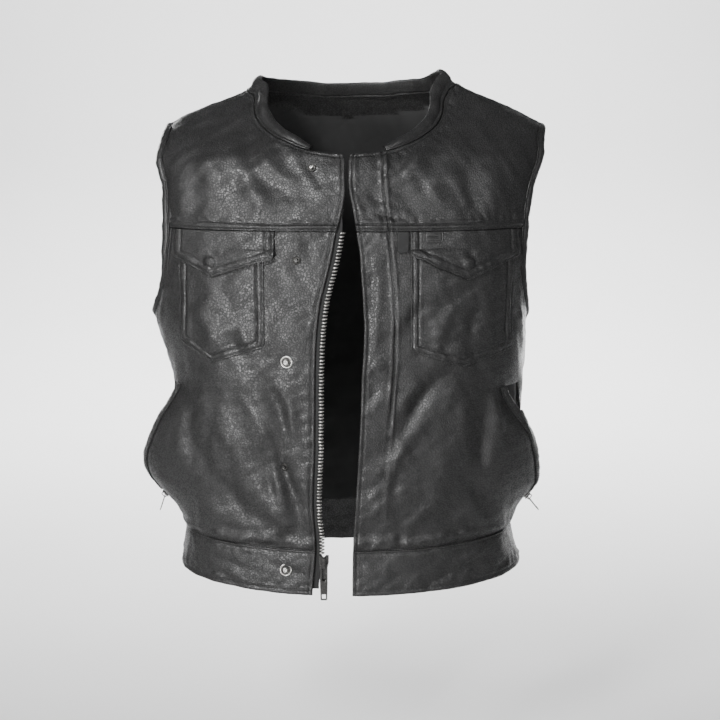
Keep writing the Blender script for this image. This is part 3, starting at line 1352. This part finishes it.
# ---- chest pockets, flaps and small patches, each laid on its panel
pocketCloth, flapCloth = 1.4, 1.5
pocketTop, flapTop = -170.2, -148.4
pockets = {
    right: {
        "near": 96, "far": 201, "tip": 161,
        "nearFoot": -283, "farFoot": -281, "point": -305, "top": pocketTop,
    },
    left: {
        "near": 74, "far": 198, "tip": 137,
        "nearFoot": -288, "farFoot": -290, "point": -308, "top": pocketTop,
    },
}
flaps = {
    right: {
        "near": 84, "far": 207, "tip": 158,
        "nearFoot": -179, "farFoot": -181, "point": -203, "top": flapTop,
    },
    left: {
        "near": 73, "far": 203, "tip": 140,
        "nearFoot": -176, "farFoot": -180, "point": -205, "top": flapTop,
    },
}
flapSnapLevel = -186
pocketSeams, flapSeams = (2.4, 9.2), (3, 10.6)  # stitch rows and grooves, in from the edge


def footLine(outline, across):
    xs = [outline["near"], outline["near"] + 3, outline["tip"], outline["far"] - 3, outline["far"]]
    near, far = outline["nearFoot"], outline["farFoot"]
    return np.interp(across, xs, [near + 3, near - 1, outline["point"], far - 1, far + 3])


def layPatch(flank, outline, step, rise, stops=()):
    wide = outline["far"] - outline["near"]
    rows = [r for s in stops for r in (s, wide - s)]
    across = outline["near"] + stations(wide, step, rows=rows)
    across = pinned(across, [outline["tip"]])
    tall = outline["top"] - outline["point"]
    down = stations(tall, step, rows=[tall - s for s in stops]) / tall
    a, v = np.meshgrid(across, down, indexing="ij")
    foot = footLine(outline, a)
    level = outline["top"] + (foot - outline["top"]) * v
    turn = turnAcross(flank * a, level)
    points, normal = skin(turn, level)
    patch = {"points": points, "normals": normal, "turn": turn, "level": level, "across": a}
    slope = np.gradient(foot, axis=0) / np.gradient(a, axis=0)
    toFoot = (level - foot) / np.sqrt(1 + slope**2)
    patch["edge"] = np.minimum(np.minimum(a - outline["near"], outline["far"] - a), toFoot)
    patch["head"] = outline["top"] - level
    patch["rise"] = rise(a, level)
    patch["open"] = np.zeros((a.shape[0] - 1, a.shape[1] - 1), bool)
    return patch


def finishPatch(name, patch, cloth, lift, finishes):
    patch["lift"] = patch["rise"] + lift
    patch["thin"] = patch["rise"] + cloth
    return makeCloth(name, [patch], cloth, finishes, leatherBack)


def insetLine(outline, flank, inset, lift):
    # a stitch line down one side, along the pointed foot and up the other side
    near, far = outline["near"] + inset, outline["far"] - inset
    along = np.linspace(near, far, 240)
    foot = footLine(outline, along) + inset * 1.08
    down, up = np.linspace(outline["top"], foot[0], 60), np.linspace(foot[-1], outline["top"], 60)
    across = np.concatenate([np.full(60, near), along, np.full(60, far)])
    level = np.concatenate([down, foot, up])
    points, normal = skin(turnAcross(flank * across, level), level)
    return points + normal * lift(across, level)[:, None], normal


def flapRise(flap):
    def rise(across, level):
        down = np.clip((yokeSeam - level) / 21, 0, 1)
        hang = np.clip((-169 - level) / (-169 - flap["point"]), 0, 2)
        near = np.clip((flap["far"] - across) / (flap["far"] - flap["near"]), 0, 1)
        return seamGap + (pocketCloth + seamGap) * down + hang**0.6 * (2.4 + 10 * near**3)

    return rise


def makePocket(flank):
    side, outline = flankName(flank), pockets[flank]
    rise = lambda across, level: seamGap + 0 * across
    outer, inner = pocketSeams
    patch = layPatch(flank, outline, 1.9, rise, (inner,))
    edge = patch["edge"]
    lift = pocketCloth + rolled(edge, 1.2) + rolled(patch["head"], 0.9)
    lift += groove(edge, outer, 0.6, 0.9) + groove(edge, inner, 1.0, 1.0)
    lift += 0.5 * np.exp(-(((edge - 5.8) / 2.2) ** 2)) + 0.35 * np.exp(-(((edge - 12.4) / 2.4) ** 2))
    lift += gathered(patch["points"], edge, 91 + flank, 0.4, 11, 12)
    belly = np.clip(edge / 28, 0, 1) * np.clip(patch["head"] / 40, 0, 1)
    lift += 1.2 * belly**1.5
    ride(finishPatch(f"chestPocket.{side}", patch, pocketCloth, lift, shell), f"chest_pocket_{side}")
    for inset, drop in ((outer, 0.3), (inner, 0.45)):
        sew(insetLine(outline, flank, inset, lambda a, z: seamGap + pocketCloth - drop + 0 * a))


def makeFlap(flank):
    side, outline = flankName(flank), flaps[flank]
    rise, (outer, inner) = flapRise(outline), flapSeams
    patch = layPatch(flank, outline, 1.7, rise, (inner,))
    points, edge = patch["points"], patch["edge"]
    lift = flapCloth + rolled(edge, 1.3) + rolled(patch["head"], 0.8)
    lift += groove(edge, outer, 0.6, 0.9) + 0.7 * np.exp(-(((edge - 6.4) / 2.6) ** 2))
    lift += groove(edge, inner, 0.8, 1.1)
    lift += gathered(points, edge, 95 + flank, 0.35, 10, 9)
    lift += bossed(points, flank * outline["tip"], flapSnapLevel, 6.2, 2.6, 0.28)
    lift -= bossed(points, flank * outline["tip"] + 3, flapSnapLevel + 11, 4, 1.6, 0.8)
    ride(finishPatch(f"pocketFlap.{side}", patch, flapCloth, lift, shell), f"pocket_flap_{side}")
    sew(insetLine(outline, flank, outer, lambda a, z: rise(a, z) + flapCloth - 0.35))


label = {"near": 58.5, "far": 71.5, "foot": -173, "top": flapTop, "cloth": 1}
penSlot = {"near": 89, "far": 111.6, "foot": -161.4, "top": flapTop, "cloth": 1, "slot": (93, 105, -155.2)}


def plainPatch(name, node, box, base, relief, finish, slot):
    foot, cloth = box["foot"], box["cloth"]
    outline = {**box, "tip": (box["near"] + box["far"]) / 2, "point": foot, "nearFoot": foot, "farFoot": foot}
    patch = layPatch(left, outline, 0.9, base)
    edge = np.minimum(patch["edge"], patch["head"])
    lift = cloth + rolled(edge, 0.7) + relief(patch, edge)
    ride(finishPatch(name, patch, cloth, lift, [finish] * 2), node, slot=slot)


def tagRelief(patch, edge):
    waves = 0.25 * np.sin(patch["level"] / 3.1) * np.clip(edge, 0, 1)
    return waves + 0.5 * np.exp(-((patch["head"] - 22) / 2) ** 2)


def slotRelief(patch, edge):
    start, end, level = penSlot["slot"]
    inside = np.clip((patch["across"] - start) * (end - patch["across"]) / 12, 0, 1)
    gap = np.abs(patch["level"] - level)
    lips = 0.8 * np.exp(-(((gap - 1.9) / 0.8) ** 2))
    return (lips - 0.9 * np.exp(-((gap / 1.0) ** 2))) * inside + groove(edge, 1.9, 0.6, 0.6)


for make in (makePocket, makeFlap):
    for flank in (right, left):
        make(flank)
labelBase = lambda a, z: seamGap + 0.9 + 0 * a
penBase = lambda a, z: flapRise(flaps[left])(a, z) + flapCloth + seamGap
plainPatch("blankLabel", "label", label, labelBase, tagRelief, labelCloth, "label")
plainPatch("penSlotPatch", "pen_slot_patch", penSlot, penBase, slotRelief, bandLeather, "leather")
print("pockets made")

# ---- hand pockets: welt on the front lip, zip tapes on both lips, and the bag behind
handPocket = {
    "weltCloth": 1.4,
    "weltWide": 13.6,
    "weltTall": 142,
    "weltStitch": (2.2, 3.4),
    "tapeWidth": (-5, 8),
    "tapeRows": (4, 10),
    "bagColumns": (6, 15),
    "bagRows": (2, 13),
    "bagSwell": 24,
}
tapeFace = -leather - seamGap - 0.2
tapeBack = tapeFace - 1


def ribbonPoints(line, beside, across, lift):
    # a strip along a column of spots, measured away from the column beside it
    spot, normal = skin(*line)
    other, otherNormal = skin(*beside)
    at = spot + normal * lift
    away = at - (other + otherNormal * lift)
    away /= np.linalg.norm(away, axis=-1, keepdims=True)
    return at + away * across, away


def ribbonRings(line, beside, section):
    return np.stack([ribbonPoints(line, beside, across, lift)[0] for across, lift in section], 1)


def makeWelt(flank):
    side, cloth = flankName(flank), handPocket["weltCloth"]
    wide, tall = handPocket["weltWide"], handPocket["weltTall"]
    backStitch, lipStitch = handPocket["weltStitch"]
    low, high = mouthRows
    columns = mouthColumns[0] - 1 + stations(wide, 1.4, (0, 0.3, 0.8, 1.4, 2.2)) / wide
    rows = low + stations(tall, 2.4) / tall * (high - low)
    patch = lay(lambda i, j: frontSpots(flank, i, j), columns, rows)
    lip, back = patch["acrossEnd"], patch["acrossStart"]
    lift = seamGap + cloth + rolled(lip, 1.5) + rolled(back, 1.0)
    lift += groove(back, backStitch, 0.4, 0.8) + groove(lip, lipStitch, 0.4, 0.9)
    lift += 0.5 * np.exp(-(((back - back.max() / 2) / 4) ** 2))
    lift += gathered(patch["points"], np.minimum(lip, back), 101 + flank, 0.45, 9, 8)
    ends = np.minimum(patch["upStart"], patch["upEnd"])
    patch["lift"] = lift + rolled(ends, 1.0)
    patch["thin"] = seamGap + cloth
    ride(makeCloth(f"pocketWelt.{side}", [patch], cloth, shell, leatherBack), f"pocket_welt_{side}")
    sew(lineAlong(patch, back, backStitch, 0))
    sew(lineAlong(patch, lip, lipStitch, 0))


def pocketColumn(flank, column, beside, rows):
    lines = []
    for c in (column, beside):
        turn, level, _ = frontSpots(flank, np.full(rows.shape, float(c)), rows)
        lines.append((turn, level, 1 if c <= edgeColumns else -1))
    return lines


def makePocketTape(flank, front):
    side = flankName(flank)
    rows = np.linspace(*handPocket["tapeRows"], 90)
    column = mouthColumns[0] if front else mouthColumns[1]
    line, other = pocketColumn(flank, column, column - 1 if front else column + 1, rows)
    low, high = handPocket["tapeWidth"]
    section = [(low, tapeFace), (5, tapeFace), (high - 0.4, tapeFace + 0.1), (high, tapeFace - 0.5),
               (high - 0.4, tapeBack - 0.1), (5, tapeBack), (low, tapeBack)]
    where = "Front" if front else "Back"
    piece = makeTube(f"pocketTape{where}.{side}", ribbonRings(line, other, section), tapeCloth)
    ride(piece, f"pocket_tape_{where.lower()}_{side}", slot="tape")
    phase = 0 if front else 0.5
    placeTeeth(line, other, 2.1, 6.8, tapeFace - 0.4, (2.0, 1.3, 1.5), f"pocketTeeth{where}.{side}", phase)


def makeBag(flank):
    side = flankName(flank)
    (start, end), (foot, head) = handPocket["bagColumns"], handPocket["bagRows"]
    wide, tall = end - start, head - foot
    i, j = np.meshgrid(np.linspace(start, end, 46), np.linspace(foot, head, 64), indexing="ij")
    s, t = (i - start) / wide, (j - foot) / tall
    turn, level, _ = frontSpots(flank, i, j)
    points, normal = skin(turn, level, -1)
    swell = handPocket["bagSwell"] * np.sin(np.pi * np.clip(t, 0, 1)) ** 0.7 * np.sin(np.pi / 2 * s) ** 0.7
    toSeam = np.minimum(np.minimum(s * wide, t * tall), (1 - t) * tall)
    sewn = (1 + seamGap) * np.exp(-(toSeam / 0.35) ** 2)
    lift = tapeBack - seamGap + sewn - swell * (1 - s**6) + 0.5 * ripple(points, 34, 105)
    patch = {"points": points, "normals": normal, "lift": lift, "turn": turn, "thin": lift}
    patch["open"] = np.zeros((i.shape[0] - 1, i.shape[1] - 1), bool)
    ride(makeCloth(f"pocketBag.{side}", [patch], 1.0, [liningCloth] * 2), f"pocket_bag_{side}", slot="lining")


# ---- zips
toothShape = {"sides": 10, "rings": 7, "square": 4.5}


def roundedBlock(size, square, sides, rings):
    # a block with soft edges, for one tooth
    signed = lambda v: np.sign(v) * np.abs(v) ** (2 / square)
    points = []
    for r in np.linspace(-math.pi / 2, math.pi / 2, rings):
        for a in np.arange(sides) * 2 * math.pi / sides:
            c = math.cos(r)
            points.append([signed(c * math.cos(a)), signed(c * math.sin(a)), signed(math.sin(r))])
    return np.array(points) * np.array(size) / 2, ringFaces(np.arange(rings * sides).reshape(rings, sides))


def placeTeeth(line, beside, pitch, across, lift, size, name, phase, tip=None):
    spot, away = ribbonPoints(line, beside, across, lift)
    run = np.concatenate([[0], np.cumsum(np.linalg.norm(np.diff(spot, axis=0), axis=1))])
    places = np.arange(pitch * (0.5 + phase), run[-1], pitch)
    at = lambda values: np.stack([np.interp(places, run, values[:, c]) for c in range(3)], 1)
    centre, x = at(spot), at(away)
    x /= np.linalg.norm(x, axis=1, keepdims=True)
    ahead = at(np.gradient(spot, axis=0))
    ahead /= np.linalg.norm(ahead, axis=1, keepdims=True)
    out = np.cross(x, ahead)
    flip = np.sign((out * at(skin(*line)[1])).sum(1, keepdims=True))
    out *= flip
    shapes = [(np.array(size), np.zeros(3))]
    if tip is not None:
        shapes.append((np.array(tip[0]), np.array(tip[1])))
    points, faces = [], []
    for shape, offset in shapes:
        block, quads = roundedBlock(shape, toothShape["square"], toothShape["sides"], toothShape["rings"])
        block = (block + offset)[None]
        placed = centre[:, None] + x[:, None] * block[..., :1] + out[:, None] * block[..., 2:]
        placed = placed + ahead[:, None] * block[..., 1:2]
        start = sum(len(p) for p in points)
        starts = start + np.arange(len(centre))[:, None, None] * block.shape[1]
        points.append(placed.reshape(-1, 3))
        faces += (quads[None] + starts).reshape(-1, 4).tolist()
    ride(makeObject(name, np.concatenate(points), faces, [toothMetal]), slot="nickel")


def edgeLine(flank, levels):
    # the front edge, and a line 12 mm back from it
    beside = turnAcross(readTable(frontEdges, flankName(flank), levels) + flank * 12, levels)
    return (edgeTurn(flank, levels), levels), (beside, levels)


mainZip = {
    "top": -122,
    "lastTooth": -147,
    "foot": -536,
    "tapeFoot": -578,
    "near": 4.4,
    "far": 9.6,
    "front": 1.9,
    "pitch": 4.1,
}


def makeMainZip():
    levels = np.linspace(mainZip["tapeFoot"] + 0.5, mainZip["top"], 420)
    line, beside = edgeLine(right, levels)
    bead = mainZip["near"] + 1.2
    section = [(-8, tapeFace), (2, tapeFace), (bead - 1.2, tapeFace), (bead, tapeFace + 0.9),
               (bead + 1.3, tapeFace + 0.5), (bead + 1.6, tapeFace - 0.6), (bead + 1.2, tapeBack - 0.9),
               (bead - 0.6, tapeBack - 0.8), (bead - 1.6, tapeBack), (-8, tapeBack)]
    tucked = 1 - 0.85 * np.clip((levels + 150) / 20, 0, 1)[:, None]  # the tape's top is folded under
    section = [(across * (tucked if across > 0 else 1), lift) for across, lift in section]
    piece = makeTube("zipTape.right", ribbonRings(line, beside, section), tapeCloth)
    ride(piece, "zip_half_right", "zip_tape_foot", slot="tape")
    levels = np.linspace(mainZip["foot"], mainZip["lastTooth"], 460)
    line, beside = edgeLine(right, levels)
    middle = (mainZip["near"] + mainZip["far"]) / 2
    depth = (tapeFace + mainZip["front"] + tapeBack - 1.2) / 2
    tip = ((1.9, 1.5, 2.5), (2.6, 0.3, 0.1))
    placeTeeth(line, beside, mainZip["pitch"], middle, depth, (5.6, 2.3, 5.2), "zipTeeth.right", 0, tip)


def makeHiddenZip():
    rows = np.linspace(0.4, 21.6, 300)
    lines = [frontSpots(left, np.full(rows.shape, float(column)), rows) for column in (2, 3)]
    section = [(-11, tapeFace), (-3.4, tapeFace), (-2.2, tapeFace - 0.6), (-3.4, tapeBack - 0.6),
               (-11, tapeBack)]
    piece = makeTube("zipTape.left", ribbonRings(*lines, section), tapeCloth)
    ride(piece, "zip_half_left", slot="tape")
    placeTeeth(*lines, mainZip["pitch"], -4.4, tapeBack - 0.4, (4.4, 2.4, 2.6), "zipTeeth.left", 0)


def stamped(name, outlines, thickness, bevel, matrix, finish, slot, on, *nodes):
    # a plate cut from outlines in a plane, the later ones as holes, with its edges eased
    curve = bpy.data.curves.new(name, "CURVE")
    curve.dimensions, curve.fill_mode = "2D", "BOTH"
    curve.extrude, curve.bevel_depth, curve.bevel_resolution = (thickness / 2 - bevel) * mm, bevel * mm, 3
    curve.offset = -bevel * mm
    for outline in outlines:
        spline = curve.splines.new("POLY")
        spline.points.add(len(outline) - 1)
        for point, (x, y) in zip(spline.points, outline):
            point.co = (x * mm, y * mm, 0, 1)
        spline.use_cyclic_u = True
    holder = bpy.data.objects.new(name + ".outline", curve)
    bpy.context.scene.collection.objects.link(holder)
    bpy.context.view_layer.update()
    mesh = bpy.data.meshes.new_from_object(holder.evaluated_get(bpy.context.evaluated_depsgraph_get()))
    bpy.data.objects.remove(holder)
    mesh.name = name
    mesh.transform(matrix)
    mesh.materials.clear()
    mesh.materials.append(finish)
    piece = bpy.data.objects.new(name, mesh)
    bpy.context.scene.collection.objects.link(piece)
    mesh.polygons.foreach_set("use_smooth", np.full(len(mesh.polygons), False))
    return ride(piece, *nodes, slot=slot, on=on)


def arc(x, y, radius, start, end, count=7):
    angles = np.linspace(start, end, count) * degree
    return [(x + radius * math.cos(a), y + radius * math.sin(a)) for a in angles]


def roundedBox(x0, y0, x1, y1, radius):
    x0, y0, x1, y1 = x0 + radius, y0 + radius, x1 - radius, y1 - radius
    corners = ((x1, y1, 0), (x0, y1, 90), (x0, y0, 180), (x1, y0, 270))
    return [p for x, y, a in corners for p in arc(x, y, radius, a, a + 90, 6)]


def frameOf(origin, out, up):
    z = out / np.linalg.norm(out)
    x = np.cross(up, z)
    x /= np.linalg.norm(x)
    y = np.cross(z, x)
    m = Matrix(np.column_stack([x, y, z]).tolist()).to_4x4()
    m.translation = Vector((np.asarray(origin) * mm).tolist())
    return m


def move(y=0.0, z=0.0, turnX=0.0):
    return Matrix.Translation(Vector((0, y, z)) * mm) @ Matrix.Rotation(turnX * degree, 4, "X")


sliders = {  # the body, then the bridge over it that the pull hangs on
    "main": {
        "width": 12, "length": 16, "thickness": 6.5,
        "start": 2, "bridge": 13, "high": 6, "wide": 3, "bar": 1.5, "floor": 0.9,
    },
    "small": {
        "width": 7, "length": 10, "thickness": 3.6,
        "start": 1.2, "bridge": 7.6, "high": 4.2, "wide": 2, "bar": 1, "floor": 0.8,
    },
}
pulls = {
    "main": {"top": 9.4, "foot": 8.2, "length": 43, "thick": 1.8, "slot": (4.2, 19), "eye": (4.6, 5.4, 2)},
    "small": {"top": 6, "foot": 6, "length": 20, "thick": 1.3, "slot": (3, 9), "eye": (3.4, 5, 1.4)},
}


def makeSlider(name, node, kind, frameMatrix, finish, slot):
    s = sliders[kind]
    half, long, thick = s["width"] / 2, s["length"], s["thickness"]
    shape = [(-half * 0.7, 0), (half * 0.7, 0), (half * 0.86, long * 0.45), (half, long), (half * 0.42, long),
             (half * 0.16, long * 0.86), (-half * 0.16, long * 0.86), (-half * 0.42, long), (-half, long),
             (-half * 0.86, long * 0.45)]
    plate = thick * 0.27
    faceAt, backAt = frameMatrix @ move(z=-plate / 2), frameMatrix @ move(z=-thick + plate / 2)
    stamped(name + ".face", [shape], plate, 0.35, faceAt, finish, slot, body, node)
    stamped(name + ".back", [shape], plate, 0.35, backAt, finish, slot, body)
    post = [(-half * 0.2, long * 0.5), (half * 0.2, long * 0.5), (half * 0.14, long * 0.84),
            (-half * 0.14, long * 0.84)]
    stamped(name + ".post", [post], thick - 0.4, 0.15, frameMatrix @ move(z=-thick / 2), finish, slot, body)
    railShape = [(0.62, 0.3), (0.72, 0.3), (1, long * 0.5), (1, long - 0.6), (0.84, long - 0.6),
                 (0.8, long * 0.45)]
    railAt = frameMatrix @ move(z=-plate - 0.35)
    for flank in (-1, 1):
        rail = [(flank * half * x, y) for x, y in railShape]
        stamped(f"{name}.rail{flank + 1}", [rail], thick * 0.16, 0.1, railAt, finish, slot, body)
    high, run, bar = s["high"], s["bridge"], s["bar"]
    arch = [(0, -0.4), (run, -0.4), *arc(run - 1.6, high - 1.8, 1.6, 0, 80),
            *arc(1.6, high - 1.8, 1.6, 100, 180)]
    hole = roundedBox(bar, s["floor"], run - bar, high - bar, 0.8)
    across = Matrix(((0, 0, 1, 0), (1, 0, 0, 0), (0, 1, 0, 0), (0, 0, 0, 1)))
    bridgeAt = frameMatrix @ move(y=s["start"]) @ across
    stamped(name + ".bridge", [arch, hole], s["wide"], 0.4, bridgeAt, finish, slot, body)


def makePull(name, node, kind, frameMatrix, swing, finish, slot, on):
    s, p = sliders[kind], pulls[kind]
    bar = p["thick"] * 0.6
    ahead, up = s["start"] + s["bar"] + p["thick"], (s["floor"] + s["high"] - s["bar"]) / 2
    hinge = move(ahead, up, -swing)
    top, foot, long = p["top"] / 2, p["foot"] / 2, p["length"]
    plate = [*arc(top - 1, bar - 1, 1, 0, 90, 5), *arc(1 - top, bar - 1, 1, 90, 180, 5), (-top, -long / 2),
             *arc(1.4 - foot, 1.4 - long, 1.4, 180, 270, 6), *arc(foot - 1.4, 1.4 - long, 1.4, 270, 360, 6),
             (top, -long / 2)]
    wide, deep = p["slot"]
    eye, tall, rim = p["eye"]
    slotHole = roundedBox(-wide / 2, -deep, wide / 2, -bar, min(0.9, wide * 0.25))
    eyeHole = roundedBox(-eye / 2, -long + rim, eye / 2, -long + rim + tall, 0.7)
    stamped(name, [plate, slotHole, eyeHole], p["thick"], 0.38, frameMatrix @ hinge, finish, slot, on, node)
    ridge = roundedBox(-foot * 0.42, -long + rim + tall + 1.6, foot * 0.42, -deep - 2.2, 0.6)
    stamped(name + ".panel", [ridge], p["thick"] + 0.5, 0.22, frameMatrix @ hinge, finish, slot, on)


# the sliders stand where the solids do, on the form with its large folds only
def bigDraped(turn, level, lip):
    points = formPoints(turn, level)
    height = foldHeight(points, turn, folds) + lipHeight(turn, level, lip)
    return points + normals(formPoints, turn, level) * height[..., None]


def bigSkin(turn, level, lip, lift):
    place = lambda t, l: bigDraped(t, l, lip)
    return place(turn, level) + normals(place, turn, level) * lift


def makeSliders():
    top = mainZip["foot"] - 0.7
    across = float(readTable(frontEdges, "right", top)) + (mainZip["near"] + mainZip["far"]) / 2 + 2.9
    turn = turnAcross(np.array([across]), top - 8)
    place = bigSkin(turn, np.array([top - 8.0]), np.array([1.0]), 1.0)[0]
    place[2] = top - sliders["main"]["length"]
    mainFrame = frameOf(place, np.array([0, -1.0, 0]), np.array([0, 0, 1.0]))
    makeSlider("zipSlider", "zip_slider", "main", mainFrame, gunmetal, "gunmetal")
    makePull("zipPull", "zip_pull", "main", mainFrame, 0, gunmetal, "gunmetal", "zip_pull")
    boxAt = mainFrame @ move(y=-0.3, z=-3.4)
    box = roundedBox(-4.25, -20, 4.25, 0, 1.2)
    stamped("zipBox", [box], 4.2, 0.6, boxAt, gunmetal, "gunmetal", body, "zip_box")
    for k, x in enumerate((-2.1, 2.1)):
        rib = roundedBox(x - 1.1, -18, x + 1.1, -2, 0.7)
        stamped(f"zipBox.rib{k}", [rib], 5.0, 0.4, boxAt, gunmetal, "gunmetal", body)
    for flank, swing in ((right, 62), (left, 76)):
        side = flankName(flank)
        level = np.array([mouthFoot - 3.0])
        turn, lip = mouthTurn(flank, level), np.array([1.0])
        foot = bigSkin(turn, level, lip, sliders["small"]["thickness"] + 0.5)[0]
        out = (bigSkin(turn, level, lip, 5.0) - bigSkin(turn, level, lip, 0.0))[0]
        up = (bigSkin(turn, level + 4, lip, 0.0) - bigSkin(turn, level - 4, lip, 0.0))[0]
        up /= np.linalg.norm(up)
        small = frameOf(foot - up * sliders["small"]["length"], out, up)
        pull = f"pocket_{side}_pull"  # both the node and the body
        makeSlider(f"pocketSlider.{side}", f"pocket_{side}_slider", "small", small, pullMetal, "nickel")
        makePull(f"pocketPull.{side}", pull, "small", small, swing, pullMetal, "nickel", pull)


for flank in (right, left):
    makeWelt(flank)
for flank in (right, left):
    for front in (True, False):
        makePocketTape(flank, front)
for flank in (right, left):
    makeBag(flank)
makeMainZip()
makeHiddenZip()
makeSliders()
print("zips and hand pockets made")

# ---- snaps
studParts = {  # radius, height
    "ring": [[5.7, 0.1], [5.75, 0.7], [6.0, 1.15], [6.5, 1.3], [7.0, 1.15], [7.3, 0.7], [7.35, 0.1]],
    "dish": [[0, 0.3], [2.6, 0.3], [4.6, 0.35], [5.9, 0.65], [6.0, 0.0], [0, -0.1]],
    "post": [
        [3.1, 0.2], [3.0, 1.0], [2.5, 1.5], [2.45, 2.4], [2.7, 3.1], [2.75, 3.7], [2.4, 4.15], [1.5, 4.3],
        [1.1, 3.7], [0, 3.6],
    ],
}
studScale = 0.66  # of the snaps that are painted dark
socketProfile = [
    [0, 0], [6.5, 0], [6.6, 0.7], [6.2, 1.4], [5.2, 1.8], [3.2, 1.8], [2.7, 1.2], [2.6, 0.6], [0, 0.5],
]
capProfile = [  # the flap's snap, under the leather
    [0, -0.4], [6.6, -0.4], [6.2, 0.1], [5.4, 0.55], [4.4, 0.95], [3.0, 1.25], [1.5, 1.4], [0, 1.45],
]
snapSides = 40


def spotAt(across, level):
    # the point and the outward normal of the cloth at one place
    points, normal = skin(turnAcross(np.array([float(across)]), level), np.array([float(level)]))
    return points[0], normal[0]


def turned(name, nodes, centre, axis, profile, finish, slot, lift):
    z = axis / np.linalg.norm(axis)
    x = np.cross([0, 0, 1.0], z)
    x /= np.linalg.norm(x)
    y = np.cross(z, x)
    angle = np.arange(snapSides) * 2 * np.pi / snapSides
    spoke = np.outer(np.cos(angle), x) + np.outer(np.sin(angle), y)
    rings = [centre + z * (lift + h) + spoke * max(r, 0.01) for r, h in profile]
    ride(makeTube(name, np.stack(rings), finish), *nodes, slot=slot)


def makeSnaps():
    for k, (across, level) in enumerate(snapRows, 1):
        spot, out = spotAt(-across, level)
        bright = k in (3, 5)
        finishes = {"ring": nickel if bright else blackened, "dish": blackened}
        finishes["post"] = nickel if bright or k == 1 else gunmetal
        proud = band["proud"] if level < waistSeam["side"] else 0
        for part, rows in studParts.items():
            profile = [[r * (1 if bright else studScale), h] for r, h in rows]
            nodes = [f"snap_stud_{k}"] if part == "post" else []
            turned(f"snapStud.{k}.{part}", nodes, spot, out, profile, finishes[part], "nickel", proud - 0.35)
        spot, out = spotAt(readTable(frontEdges, "left", level) + fronts["capInset"], level)
        nodes = [f"snap_socket_{k}"]
        turned(f"snapSocket.{k}", nodes, spot, -out, socketProfile, nickel, "nickel", leather + 0.1)
    for flank in (right, left):
        across, name = flaps[flank]["tip"], flankName(flank)
        spot, out = spotAt(flank * across, flapSnapLevel)
        lift = float(flapRise(flaps[flank])(across, flapSnapLevel)) + flapCloth + 1.0
        nodes = [f"flap_snap_{name}"]
        turned(f"flapSnap.{name}", nodes, spot, out, capProfile, leatherCloth, "leather", lift)


makeSnaps()
ride(makeStitches("topstitching", thread))
print("snaps and stitches made")

# ---- what each piece measures flat, in metres: width, length, area, how it is held, what it lies on
flatSizes = {
    "frontPanel.right": (0.285, 0.385, 0.096, "draped", ["frontYoke.right"]),
    "frontPanel.left": (0.295, 0.385, 0.0995, "draped", ["frontYoke.left"]),
    "frontYoke.right": (0.245, 0.2, 0.032, "draped", ["backPanel"]),
    "frontYoke.left": (0.25, 0.205, 0.0333, "draped", ["backPanel"]),
    "backPanel": (0.56, 0.64, 0.27, "draped", ["frontYoke.right", "frontYoke.left"]),
    "waistband.right": (0.262, 0.056, 0.0139, "stretched", ["frontPanel.right"]),
    "waistband.left": (0.302, 0.056, 0.016, "stretched", ["frontPanel.left"]),
    "waistband.back": (0.51, 0.057, 0.0277, "stretched", ["backPanel"]),
    "armholeBinding.right": (0.0135, 0.6, None, "folded", ["frontPanel.right"]),
    "armholeBinding.left": (0.0135, 0.59, None, "folded", ["frontPanel.left"]),
    "chestPocket.right": (0.114, 0.136, 0.0139, "laid", ["frontPanel.right"]),
    "chestPocket.left": (0.138, 0.138, 0.0172, "laid", ["frontPanel.left"]),
    "pocketFlap.right": (0.135, 0.056, 0.0058, "laid", ["chestPocket.right"]),
    "pocketFlap.left": (0.14, 0.058, 0.0062, "laid", ["chestPocket.left"]),
    "pocketWelt.right": (0.016, 0.15, None, "folded", ["frontPanel.right"]),
    "pocketWelt.left": (0.016, 0.15, None, "folded", ["frontPanel.left"]),
    "pocketTapeFront.right": (0.0135, 0.098, None, "laid", ["frontPanel.right"]),
    "pocketTapeFront.left": (0.0135, 0.098, None, "laid", ["frontPanel.left"]),
    "pocketTapeBack.right": (0.0135, 0.098, None, "laid", ["frontPanel.right"]),
    "pocketTapeBack.left": (0.0135, 0.098, None, "laid", ["frontPanel.left"]),
    "pocketBag.right": (0.15, 0.16, 0.0205, "hung", ["frontPanel.right"]),
    "pocketBag.left": (0.15, 0.16, 0.021, "hung", ["frontPanel.left"]),
    "zipTape.right": (0.0165, 0.465, None, "laid", ["frontPanel.right"]),
    "zipTape.left": (0.0105, 0.33, None, "laid", ["frontPanel.left"]),
    "blankLabel": (0.0135, 0.026, None, "hung", ["frontPanel.left"]),
    "penSlotPatch": (0.024, 0.0135, None, "laid", ["pocketFlap.left"]),
}
for name, (width, length, area, held, under) in flatSizes.items():
    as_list(under)
print("cloth declared")

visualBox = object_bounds()
boxes = [[list(map(float, corner)) for corner in box] for box in (cadBox, visualBox)]
